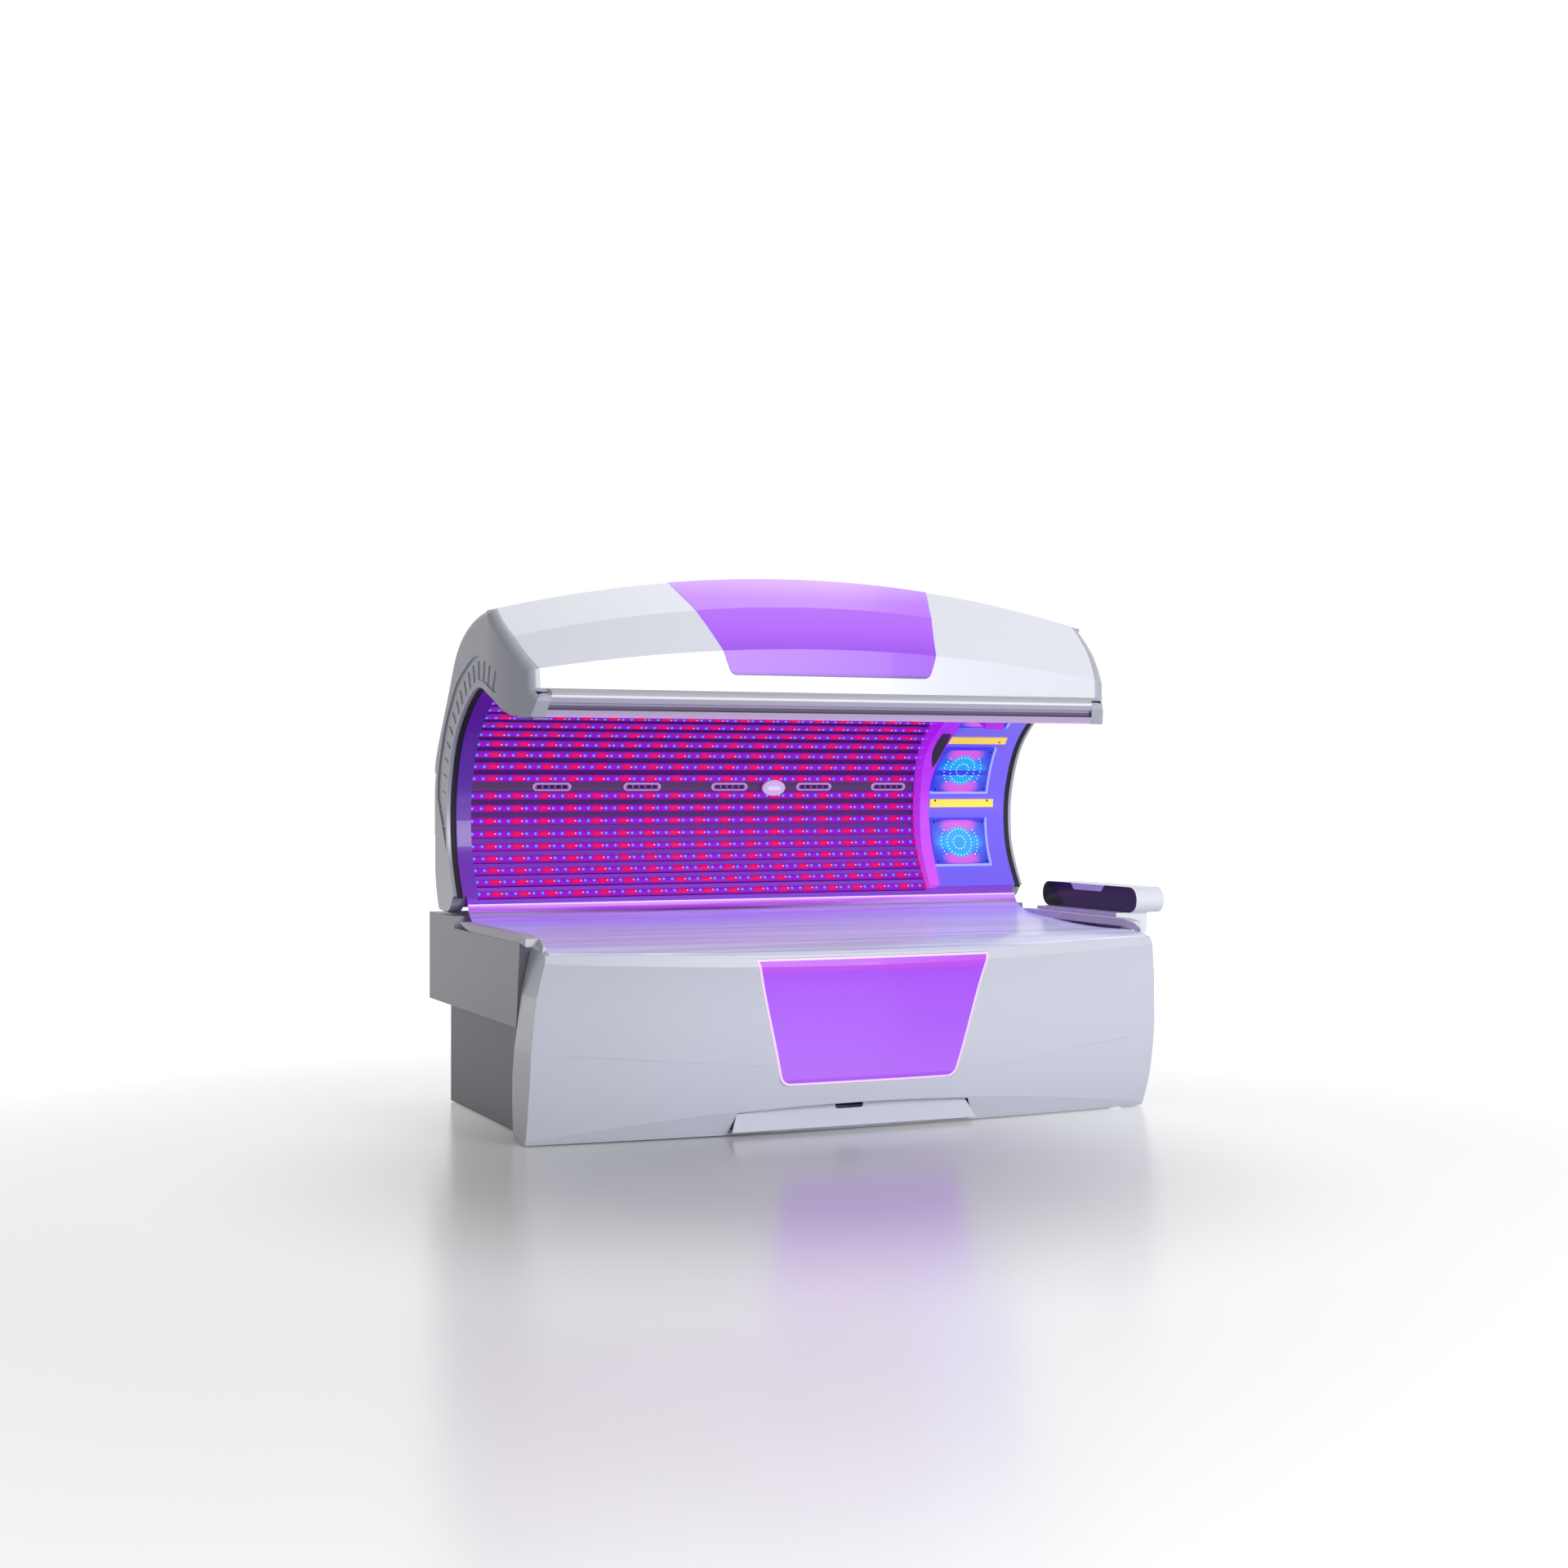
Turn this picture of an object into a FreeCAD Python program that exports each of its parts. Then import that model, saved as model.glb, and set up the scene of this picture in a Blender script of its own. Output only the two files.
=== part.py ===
"""Clamshell tanning bed: a bench base with a hinged LED canopy, gas springs, fans and a side console.

Modelling frame, in millimetres: X along the bed (0 at the middle of the front cover, + towards the
head end), Y to the back (0 at the cover's bottom corners), Z up from the floor. The files are written
with X and Y moved so that the origin is at the centre of the whole bed's footprint.
"""
import FreeCAD, Part
import math
import os

V = FreeCAD.Vector

# ---------------------------------------------------------------------------- driving dimensions
# Overall
bed_length = 2160.0
bed_half = bed_length / 2.0
floor_gap = 4.0
seam = 1.0                     # visible gap between two covers
seat = 0.3                     # gap between a seated piece and what carries it
loft_margin = 20.0             # how far the crowned forms are drawn past the ends before they are trimmed
clear = 2.0 * bed_half         # reach of a cutting block past everything it trims
run_out = 60.0                 # how far a cutting form runs on past the end of its curve

# Front cover: face line at its ends (Y, Z), bulged forward in plan by cover_bulge at the middle
cover_face = [(0.0, 0.0), (-7.0, 15.0), (-38.0, 94.0), (-47.0, 120.0), (-70.0, 236.0), (-76.0, 300.0),
              (-90.0, 450.0), (-107.0, 556.0)]
cover_bulge = 80.0
cover_wall = 5.0
arch_end_z = 15.0              # lower crease of the cover at its ends
arch_rise = 79.0               # and how far it rises to the middle
skirt_set_back = 18.0          # bottom edge of the skirt behind the face line
chamfer_end_z = 556.0          # fold below the acrylic, at the ends
chamfer_droop = 31.0           # and how far it drops to the middle
chamfer_lean = 0.36            # chamfer, Y per Z
cover_flank = [(0.0, 0.0), (4.0, 115.0), (4.0, 285.0), (-8.0, 450.0), (-27.0, 556.0), (-44.0, 640.0)]
return_edge = [(50.0, 700.0), (50.0, 592.0), (85.0, 345.0), (119.0, 197.0), (123.0, 0.0)]
cover_flange = 45.0            # top flange under the acrylic
# styling creases in the face, each from its outer to its inner end (X, Z)
crease_lines = [[(-989.0, 277.0), (-334.0, 219.0)], [(997.0, 250.0), (380.0, 177.0)]]
crease_width = 2.2             # at the inner end; half that at the outer end
crease_depth = 1.6

# Lit panel in the front cover (X half-widths, Z)
front_panel_top_half = 400.0
front_panel_bottom_half = 300.0
front_panel_top_z = 552.0
front_panel_bottom_z = 156.0
front_panel_corner = 28.0
panel_wall = 5.0
panel_proud = 1.5
light_board_gap = 24.0
light_board_wall = 4.0
light_post_x = 262.0           # stand-offs between the board and the lit panel
light_post_z = [200.0, 480.0]
light_post = 6.0

# Filter recess and tray in the toe of the cover
recess_left = [(-449.0, 12.0), (-434.0, 76.0)]     # slanted left side of the recess (X, Z)
recess_right = [(403.0, 12.0), (363.0, 80.0)]      # slanted right side
recess_edge_drop = 3.0         # its curved top edge below the cover's crease
tray_gap = 3.0                 # visible gap round the tray front
tray_front_y = -86.0
tray_front_wall = 6.0
tray_wall = 2.5
tray_back_y = 34.0
tray_depth_z = 46.0
bin_inset = 30.0               # filter bin's sides inside the tray front's ends
pad_height = 26.0
guide_gap = 0.5
guide_width = 10.0
finger_slot_x = -50.0
finger_slot_width = 96.0
finger_slot_z = 70.0            # bottom of the notch in the tray's top edge
finger_slot_corner = 8.0

# Bench: top surface of the acrylic (Y, Z) from the rear upstand to the front edge
bench_curve = [(790.0, 685.0), (775.0, 655.0), (735.0, 634.0), (600.0, 612.0), (400.0, 599.0),
               (150.0, 593.0), (-60.0, 591.0), (-110.0, 584.0), (-200.0, 559.0)]
acrylic_wall = 6.0
side_margin = 44.0             # from the bed's end to the acrylic's edge
acrylic_half = bed_half - side_margin
rim_width = 42.0
rim_top = [(800.0, 646.0), (757.0, 631.0), (50.0, 629.0), (-24.0, 619.0), (-62.0, 601.0)]
rim_height = 24.0

# Side boxes, plinth and rear
box_front_y = 92.0
box_rear_y = 1130.0
box_bottom_z = 348.0
box_top_z = 646.0
box_step_y = 806.0
box_width = bed_half - acrylic_half - seat
sheet = 2.0
plinth_inset_x = 50.0
plinth_rear_y = 1034.0
plinth_front_y = 126.0
well_floor_z = 590.0
louvre_count = 9
louvre_pitch = 22.0
louvre_length = 320.0
louvre_height = 8.0

# Base frame
tube = 40.0
tube_wall = 2.5
frame_inset = 70.0
frame_half_x = bed_half - frame_inset
frame_front_y = 70.0
frame_rear_y = 1000.0
frame_bottom_z = 34.0
frame_top_z = 500.0
cross_x = [-560.0, 0.0, 560.0]
arm_y = [300.0, 780.0]          # side arms of the frame
rear_arm_x = [-900.0, 0.0, 900.0]
cover_arm_x = [-960.0, -480.0, 480.0, 960.0]
board_arm_x = [-200.0, 200.0]
deck_wall = 3.0
cradle_wall = 4.0
foot_radius = 27.0
foot_height = 12.0
foot_stem_radius = 6.0

# Canopy hinge and swing
hinge_y = 905.0
hinge_z = 742.0
shaft_radius = 15.0
bush_wall = 4.0
running_gap = 0.05
bracket_wall = 12.0
bracket_radius = 33.0
bracket_x = [-960.0, -520.0, 520.0, 960.0]
foot_arc_radius = 89.0

# Canopy: opening line (Y, Z) from the rear foot over the top to the front lip
opening_curve = [(793.0, 686.0), (805.0, 711.0), (848.0, 785.0), (880.0, 862.0), (893.0, 945.0),
                 (888.0, 1040.0), (866.0, 1115.0), (817.0, 1212.0), (716.0, 1306.0), (600.0, 1370.0),
                 (501.0, 1391.0), (428.0, 1374.0), (357.0, 1347.0), (303.0, 1319.0), (246.0, 1297.0),
                 (204.0, 1291.5), (164.0, 1291.0)]
# rear and top of the upper shell at its ends (Y, Z), from the lower rear edge to the crest
shell_curve = [(1084.0, 1122.0), (1074.0, 1164.0), (1041.0, 1219.0), (966.0, 1315.0), (881.0, 1421.0),
               (797.0, 1522.0), (716.0, 1574.0), (616.0, 1609.0), (519.0, 1627.0), (405.0, 1634.0)]
crown = 134.0                  # rise of the crest from the ends to the middle
crest = (405.0, 1634.0)
fold_upper = (275.0, 1535.0)
fold_upper_crown = 130.0
fold_lower = (150.0, 1425.0)
fold_lower_crown = 96.0
face_bottom = (145.0, 1380.0)
lip_line = [(126.0, 1376.0), (119.0, 1367.0), (124.0, 1340.0), (147.0, 1292.0)]    # cap's front below it
plan_front_y = 60.0            # front of the canopy's plan outline, ahead of the lip
cap_reach = 220.0              # the caps are drawn this far in from the bed's ends
shell_wall = 4.0
corner_start_y = 420.0         # the end caps turn in towards the lip from here
corner_radius = 628.0
end_cap_width = 45.0
end_cap_wall = 4.0
cap_return = 12.0              # depth of the cap's return round the opening
cap_border = 30.0              # the cap's border that closes the shell's end
cap_shoulder = 30.0            # rounding of that border
cap_flange = 12.0              # depth of the border and of the flange under the shell
cap_seam = 0.6
# outer line of the foot and lower rear (Y, Z), between the foot arc and the shell's lower edge
rear_curve = [(905.0, 652.0), (1000.0, 655.0), (1012.0, 664.0), (1052.0, 756.0), (1069.0, 880.0),
              (1071.0, 980.0), (1063.0, 1064.0), (1044.0, 1122.0)]
rear_wall = 3.0
crease_curve = [(1022.0, 1037.0), (1012.0, 1122.0), (968.0, 1215.0), (905.0, 1306.0), (845.0, 1364.0),
                (791.0, 1410.0), (720.0, 1446.0), (640.0, 1476.0), (543.0, 1497.0), (458.0, 1491.0),
                (387.0, 1474.0), (293.0, 1437.0), (202.0, 1401.0)]
crease_step = 5.0
rim_band = 26.0                # smooth band between the opening and the ribbed field
rib_count = 18
rib_length = 62.0
rib_width = 5.0
rib_height = 3.0

# Lit panel in the canopy (X half-width, Z at the ends of the crown)
canopy_panel_edge = [(352.0, 1434.0), (366.0, 1470.0), (388.0, 1540.0), (412.0, 1610.0),
                     (438.0, 1675.0), (467.0, 1735.0), (480.0, 1800.0)]
canopy_panel_rear_y = 520.0
canopy_board = [(290.0, 1620.0), (180.0, 1500.0)]   # top face of the light board behind it (Y, Z)

# Lip rail along the front edge of the canopy (Y, Z)
lip_rail_profile = [(148.0, 1380.0), (126.0, 1376.0), (119.0, 1367.0), (121.0, 1353.0), (129.0, 1336.0),
                    (142.0, 1334.0), (145.0, 1318.0), (137.0, 1315.0), (150.0, 1314.0), (160.0, 1376.0)]
lip_strip_profile = [(138.0, 1313.5), (147.0, 1292.0), (176.0, 1292.0), (176.0, 1298.0), (160.0, 1300.0),
                     (156.0, 1313.5)]

# Canopy lining, measured outwards from the opening line
liner_face = 8.0
liner_wall = 2.0
gasket_width = 18.0
gasket_height = 6.0
lining_tip = (171.3, 1300.2)   # front and top of the room for the lining's front edge (Y, Z)
holder_width = 22.0            # bench holders
holder_height = 15.0
bar_pitch = 44.5
bar_width = 27.0
bar_height = 14.0
bar_base = 5.0
bar_lift = 0.8                 # back of a bar's middle above the hollow lining
lining_clear_z = 705.0         # gaskets and holders start above the bench's upstand
lining_corner_z = 713.0        # lower corners of the lining and holders, clear of the side boxes when closed
swing_gap = 2.0                # sideways play between the side boxes and the lining that swings past them
lower_bars = 9
first_bar_s = 32.0
channel_gap = 63.0             # pitch across the air channel
channel_width = 34.0
channel_height = 4.0
holder_inset = 80.0            # lamp holders' inner edge, from the end plane

# Air nozzles and keypad in the channel
nozzle_x = [-718.0, -391.0, -64.0, 263.0, 560.0]
nozzle_length = 118.0
nozzle_radius = 10.0
nozzle_vane = 4.0
nozzle_vanes = 4
bezel_length = 137.0
bezel_height = 28.0
bezel_wall = 5.0
trunnion_radius = 2.5
trunnion_play = 0.35
keypad_x = 100.0
keypad_length = 88.0
keypad_height = 58.0
keypad_depth = 11.0
keypad_lift = 17.5             # underside of the keypad above the lining
keypad_neck_length = 52.0
keypad_neck_height = 26.0
button_length = 48.0
button_height = 12.0
button_travel = 1.5

# Head end: speaker fin, facial panel with lamp modules and clamp bars
# left and right edges of the fin (X, Z): narrow at the foot, widened round the speaker
fin_left = [(680.0, 600.0), (679.0, 800.0), (673.0, 920.0), (670.0, 1050.0), (660.0, 1160.0),
            (658.0, 1300.0), (658.0, 1500.0)]
fin_right = [(706.0, 600.0), (706.0, 1000.0), (708.0, 1120.0), (727.0, 1215.0), (729.0, 1285.0),
             (710.0, 1370.0), (706.0, 1500.0)]
fin_gap = 4.0                  # from the bars' right ends to the fin
fin_depth = 58.0
fin_foot_depth = 20.0
speaker_x = 702.0
speaker_width = 44.0
speaker_length = 226.0
speaker_wall = 2.5
speaker_z = 1240.0
facial_wall = 4.0
module_x = 853.0
module_width = 236.0
module_length = 188.0
module_height = 10.0
module_rim = 8.0
module_floor = 6.0
module_z = [868.0, 1142.0, 1352.0]
clamp_z = [1016.0, 1250.0]
clamp_x = 869.0
clamp_length = 262.0
clamp_width = 30.0
clamp_height = 6.0

# Canopy frame and gas springs
rib_wall = 3.0
rib_end_x = bed_half - end_cap_width - seat - rib_wall / 2.0
rib_mid_x = 470.0
rib_x = [-rib_end_x, -rib_mid_x, rib_mid_x, rib_end_x]
rib_inset = 13.0
stringer = 30.0
stringer_wall = 2.0
stringer_z = 1440.0
stringer_rear_y = 700.0
stringer_front_y = 500.0
stringer_low_y = 985.0
stringer_low_z = 985.0
lever_wall = 8.0
lever_hub = 26.0
lever_eye = 11.0
shaft_wall = 4.0
lever_reach = 60.0
lever_angle = -20.0
spring_inset = 85.0            # middle of a gas spring inside the frame's end
spring_x = frame_half_x - spring_inset
lever_x = spring_x + 13.0      # lever plate beside the rod's eye
spring_foot_y = 870.0
spring_foot_z = 190.0
spring_tube_radius = 14.0
spring_rod_radius = 5.0
spring_tube_length = 300.0
spring_rod_in = 90.0
spring_pin_radius = 5.0
spring_pin_play = 0.2
spring_eye_play = 3.0
spring_eye_wall = 4.5
spring_eye_width = 10.0

# Fans
fan_x = [-400.0, 400.0]
fan_y = 330.0
fan_z = 300.0
fan_radius = 110.0
fan_wall = 4.0
fan_flange = 12.0
spindle_radius = 4.0
fan_depth = 60.0
fan_hub = 34.0
fan_tip_gap = 3.0
fan_blades = 7
blade_wall = 3.0
blade_pitch = 32.0
canopy_fan_x = 250.0
canopy_fan_y = (stringer_rear_y + stringer_front_y) / 2.0
canopy_fan_gap = 2.0
canopy_fan_radius = 58.0
canopy_fan_depth = 38.0
canopy_fan_hub = 20.0

# Driver boxes and control box on the fan deck
driver_count = 6
driver_span = 870.0
driver_length = 210.0
driver_width = 66.0
driver_height = 70.0
driver_near_y = 118.0
control_near = (-960.0, 215.0)
control_size = (180.0, 260.0, 110.0)
control_fins = 10
control_edge = 12.0
case_wall = 2.0

# Console pod at the head end
pod_face_x = 1130.0
pod_depth = 115.0
pod_near_y = 114.0
pod_length = 632.0
pod_bottom_z = 642.0
pod_height = 88.0
pod_wall = 4.0
screen_wall = 4.0
lid_near_y = 318.0
lid_length = 228.0
lid_wall = 4.0
lid_tongue = 23.0
lid_pin_radius = 3.0
lid_knuckle = lid_pin_radius + 3.0
lid_rear_wall = 12.0
column_near_y = 160.0
column_far_y = 700.0
column_outer_x = 1218.0
column_foot_z = 420.0
column_edge = 26.0

# Lamps of the bench
bench_bars = 14
bench_bar_pitch = 56.0
bench_bar_first_y = -20.0
bench_bar_drop = 34.0
reflector_gap = 1.2            # below the backs of the bench bars

# Mains inlet gland in the rear of the plinth
gland_x = -820.0
gland_z = 120.0
gland_radius = 10.0
gland_bore = 5.5
gland_length = 34.0

x_low = -bed_half - cover_flank[1][0]
x_high = pod_face_x + pod_depth
y_low = cover_face[-1][0] - cover_bulge
y_high = box_rear_y
origin_shift = V(-(x_low + x_high) / 2.0, -(y_low + y_high) / 2.0, 0)


# ---------------------------------------------------------------------------- geometry helpers
def box(x0, x1, y0, y1, z0, z1):
    """An upright block between two corners."""
    return Part.makeBox(x1 - x0, y1 - y0, z1 - z0, V(x0, y0, z0))


def rod_x(radius, x0, x1, y, z):
    """A round bar along X."""
    return Part.makeCylinder(radius, x1 - x0, V(x0, y, z), V(1, 0, 0))


def rod_z(radius, z0, z1, x, y):
    """A round bar along Z."""
    return Part.makeCylinder(radius, z1 - z0, V(x, y, z0), V(0, 0, 1))


def flat(points):
    """A flat face inside a closed polygon."""
    return Part.Face(Part.makePolygon(list(points) + [points[0]]))


def prism_x(outline, x0, x1):
    """A straight-edged (Y, Z) outline extruded along X."""
    return flat([V(x0, y, z) for y, z in outline]).extrude(V(x1 - x0, 0, 0))


def prism_y(outline, y0, y1):
    """A straight-edged (X, Z) outline extruded along Y."""
    return flat([V(x, y0, z) for x, z in outline]).extrude(V(0, y1 - y0, 0))


def joined(solids):
    """Fuse solids and merge their split faces."""
    first = solids[0]
    if len(solids) > 1:
        first = first.multiFuse(solids[1:])
    return first.removeSplitter()


def mirrored(shape):
    """The same piece on the other end of the bed."""
    return shape.mirror(V(0, 0, 0), V(1, 0, 0))


def spline(points):
    """A smooth curve through 3-D points."""
    curve = Part.BSplineCurve()
    curve.interpolate(points)
    return curve


def lerp(table, z):
    """Y of a (Y, Z) line at height z, straight between its points."""
    for (y0, z0), (y1, z1) in zip(table, table[1:]):
        if z0 <= z <= z1:
            return y0 + (y1 - y0) * (z - z0) / (z1 - z0)
    return table[-1][0] + (z - table[-1][1]) * -chamfer_lean


def shifted_path(points, distance):
    """An open (Y, Z) line moved to its right-hand side, away from the lying space."""
    moved = []
    for index, (y, z) in enumerate(points):
        ahead = points[min(index + 1, len(points) - 1)]
        behind = points[max(index - 1, 0)]
        run_y, run_z = ahead[0] - behind[0], ahead[1] - behind[1]
        length = math.hypot(run_y, run_z)
        moved.append((y + run_z / length * distance, z - run_y / length * distance))
    return moved


def shifted_loop(points, distance):
    """A closed (Y, Z) loop, drawn anticlockwise, moved inwards with mitred corners."""
    moved = []
    count = len(points)
    for index in range(count):
        before, here, after = points[index - 1], points[index], points[(index + 1) % count]
        into = (here[0] - before[0], here[1] - before[1])
        out = (after[0] - here[0], after[1] - here[1])
        into_n, out_n = math.hypot(*into), math.hypot(*out)
        normal_a = (-into[1] / into_n, into[0] / into_n)
        normal_b = (-out[1] / out_n, out[0] / out_n)
        scale = 1.0 + normal_a[0] * normal_b[0] + normal_a[1] * normal_b[1]
        moved.append((here[0] + distance * (normal_a[0] + normal_b[0]) / scale,
                      here[1] + distance * (normal_a[1] + normal_b[1]) / scale))
    return moved


def loop_wire(x, points, smooth):
    """A closed wire at X from (Y, Z) points; each (first, last) range in smooth is one curve."""
    corners = [V(x, y, z) for y, z in points]
    corners.append(corners[0])
    edges = []
    index = 0
    while index < len(points):
        span = [last for first, last in smooth if first == index]
        if span:
            edges.append(spline(corners[index:span[0] + 1]).toShape())
            index = span[0]
        else:
            edges.append(Part.LineSegment(corners[index], corners[index + 1]).toShape())
            index += 1
    return Part.Wire(edges)


def band(path, inner, outer, x0, x1):
    """A strip along a smooth (Y, Z) path, between two distances from it, extruded along X."""
    near = [V(x0, y, z) for y, z in shifted_path(path, inner)]
    far = [V(x0, y, z) for y, z in shifted_path(path, outer)]
    edges = [spline(near).toShape(), Part.LineSegment(near[-1], far[-1]).toShape(),
             spline(far[::-1]).toShape(), Part.LineSegment(far[0], near[0]).toShape()]
    return Part.Face(Part.Wire(edges)).extrude(V(x1 - x0, 0, 0))


def write(name, *shapes):
    """Keep a piece, or a group of like pieces, as one node in its own file."""
    solids = [solid for shape in shapes for solid in shape.Solids]
    node = solids[0] if len(solids) == 1 else Part.makeCompound(solids)
    node.translate(origin_shift)
    os.makedirs("parts", exist_ok=True)
    node.exportStep("parts/" + name + ".step")


# ---------------------------------------------------------------------------- front cover
def plan_bow(x):
    """Share of the forward bulge at X: 1 at the middle, 0 at the ends."""
    return 1.0 - (x / bed_half) ** 2


def cover_section(x, inset):
    """Closed (Y, Z) outline of the cover block at X, its face moved back by inset."""
    bow = plan_bow(x)
    forward = -cover_bulge * bow + inset
    arch_z = arch_end_z + arch_rise * bow
    fold_z = chamfer_end_z - chamfer_droop * bow
    points = [(lerp(cover_face, 0.0) + skirt_set_back * max(bow, 0.0) + forward, floor_gap)]
    for share in (0.0, 0.25, 0.5, 0.75):
        z = arch_z + share * (fold_z - arch_z)
        points.append((lerp(cover_face, z) + forward, z))
    fold_y = cover_face[-1][0] + forward
    top_z = return_edge[0][1]
    points.append((fold_y, fold_z))
    points.append((fold_y + chamfer_lean * (top_z - fold_z), top_z))
    edge = [(y + 2.0 * inset, z) for y, z in return_edge[:-1]]
    edge.append((return_edge[-1][0] + 2.0 * inset, floor_gap))
    return loop_wire(x, points + edge, [(1, 5)])


def cover_region(inset):
    """Everything behind the cover's face and between its flanks."""
    reach = bed_half + loft_margin
    block = Part.makeLoft([cover_section(x, inset) for x in (-reach, 0.0, reach)], True, False)
    flank = [(bed_half + x - inset, z - 0.5 if z == 0 else z) for x, z in cover_flank]
    top_z = return_edge[0][1]
    flank.append((flank[-1][0] - 20.0, top_z + 10.0))
    outline = flank + [(-x, z) for x, z in reversed(flank)]
    return block.common(prism_y(outline, -clear, clear))


def below_bench(drop):
    """Everything under the bench surface, drop below its top face."""
    curve = shifted_path(bench_curve, -drop)
    reach = bed_half + run_out
    tops = [V(-reach, y, z) for y, z in curve]
    low_front = V(-reach, tops[-1].y - run_out, -run_out)
    high_front = V(-reach, low_front.y, tops[-1].z - run_out * 0.3)
    low_rear = V(-reach, tops[0].y + clear, -run_out)
    high_rear = V(-reach, low_rear.y, tops[0].z)
    edges = [spline(tops).toShape()]
    ring = [tops[-1], high_front, low_front, low_rear, high_rear, tops[0]]
    edges += [Part.LineSegment(a, b).toShape() for a, b in zip(ring, ring[1:])]
    return Part.Face(Part.Wire(edges)).extrude(V(2.0 * reach, 0, 0))


def front_panel_prism(grow):
    """Trapezoid with rounded lower corners, as a block along Y."""
    top = front_panel_top_z + grow
    bottom = front_panel_bottom_z - grow
    wide, narrow = front_panel_top_half + grow, front_panel_bottom_half + grow
    block = prism_y([(-narrow, bottom), (narrow, bottom), (wide, top), (-wide, top)], -clear, 0.0)
    lower = [edge for edge in block.Edges
             if all(abs(vertex.Z - bottom) < 1e-6 for vertex in edge.Vertexes)
             and abs(edge.Vertexes[0].X - edge.Vertexes[-1].X) < 1e-6]
    return block.makeFillet(front_panel_corner, lower)


def recess_block(grow, y0, y1):
    """The recess in the cover's toe as a block along Y: slanted ends under an arched top edge."""
    (left_low, left_top), (right_low, right_top) = recess_left, recess_right
    rise = arch_end_z + arch_rise * plan_bow(0.0) - recess_edge_drop
    low_left = V(left_low[0] - grow, y0, left_low[1] - grow)
    low_right = V(right_low[0] + grow, y0, right_low[1] - grow)
    top_left = V(left_top[0] - grow, y0, left_top[1] + grow)
    top_right = V(right_top[0] + grow, y0, right_top[1] + grow)
    edges = [Part.LineSegment(top_left, low_left).toShape(), Part.LineSegment(low_left, low_right).toShape(),
             Part.LineSegment(low_right, top_right).toShape(),
             Part.Arc(top_right, V(0.0, y0, rise + grow), top_left).toShape()]
    return Part.Face(Part.Wire(edges)).extrude(V(0, y1 - y0, 0))


def crease_grooves():
    """Fine grooves along the styling creases, narrowing towards the cover's ends."""
    skin = cover_region(0.0).cut(cover_region(crease_depth))
    grooves = []
    for (x0, z0), (x1, z1) in crease_lines:
        half = crease_width / 2.0
        outline = [(x0, z0 - half / 2.0), (x1, z1 - half), (x1, z1 + half), (x0, z0 + half / 2.0)]
        grooves.append(skin.common(prism_y(outline, -clear, 0.0)))
    return Part.makeCompound(grooves)


def make_front_cover():
    underside = acrylic_wall + seat
    outer = cover_region(0.0).common(below_bench(underside))
    inner = cover_region(cover_wall).common(below_bench(underside + cover_wall))
    shell = outer.cut(inner)
    window = cover_region(cover_flange).common(box(-clear, clear, -clear, clear, cover_face[-2][1], clear))
    shell = shell.cut(window)
    shell = shell.cut(front_panel_prism(seam))
    shell = shell.cut(recess_block(0.0, -clear, 0.0))
    return shell.cut(crease_grooves())


def make_front_panel():
    skin = cover_region(-panel_proud).cut(cover_region(panel_wall - panel_proud))
    return skin.common(front_panel_prism(0.0)).common(below_bench(acrylic_wall + seat))


def make_front_light_board():
    """A flat board with ribs of light strips behind the lit panel, held by the base frame."""
    depth_y = cover_face[4][0] - cover_bulge + cover_wall + light_board_gap
    wide = front_panel_bottom_half - 12.0
    board = box(-wide, wide, depth_y, depth_y + light_board_wall,
                front_panel_bottom_z + 14.0, front_panel_top_z - 40.0)
    strips = []
    pitch = (front_panel_top_z - front_panel_bottom_z - 90.0) / 5.0
    for index in range(6):
        z = front_panel_bottom_z + 26.0 + index * pitch
        strips.append(box(-wide + 8.0, wide - 8.0, depth_y - 3.0, depth_y, z, z + 8.0))
    behind = cover_region(panel_wall - panel_proud + seat)
    for x in (-light_post_x, light_post_x):
        for z in light_post_z:
            post = box(x - light_post, x + light_post, -clear, depth_y + 1.0, z - light_post, z + light_post)
            strips.append(post.common(behind))
    return joined([board] + strips)


# ---------------------------------------------------------------------------- filter tray
def bin_ends():
    """X of the filter bin's two sides and Z of its floor."""
    left = recess_left[0][0] + tray_gap + bin_inset
    right = recess_right[0][0] - tray_gap - bin_inset
    return left, right, recess_left[0][1] + tray_gap


def make_filter_tray():
    """Filter tray: an arched front with a finger notch, and an open bin behind it."""
    back_of_front = tray_front_y + tray_front_wall
    front = recess_block(-tray_gap, tray_front_y, back_of_front)
    half = finger_slot_width / 2.0
    notch = box(finger_slot_x - half, finger_slot_x + half, tray_front_y - 1.0, back_of_front + 1.0,
                finger_slot_z, finger_slot_z + run_out)
    corners = [edge for edge in notch.Edges if edge.BoundBox.ZMax < finger_slot_z + 1.0
               and edge.BoundBox.XLength < 1e-6]
    front = front.cut(notch.makeFillet(finger_slot_corner, corners))
    left, right, bottom = bin_ends()
    outer = box(left, right, back_of_front, tray_back_y, bottom, bottom + tray_depth_z)
    inner = box(left + tray_wall, right - tray_wall, back_of_front, tray_back_y - tray_wall,
                bottom + tray_wall, bottom + tray_depth_z + 1.0)
    return joined([front, outer.cut(inner)])


def make_filter_pad():
    left, right, bottom = bin_ends()
    inset = tray_wall + 1.0
    return box(left + inset, right - inset, tray_front_y + tray_front_wall + 8.0, tray_back_y - inset,
               bottom + tray_wall, bottom + tray_wall + pad_height)


def make_tray_guides():
    """Guide rails of the frame on both sides of the filter bin."""
    left, right, bottom = bin_ends()
    near, far = tray_front_y + tray_front_wall + 8.0, frame_front_y + tube
    return [box(left - guide_gap - guide_width, left - guide_gap, near, far, bottom, frame_bottom_z),
            box(right + guide_gap, right + guide_gap + guide_width, near, far, bottom, frame_bottom_z)]


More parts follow.
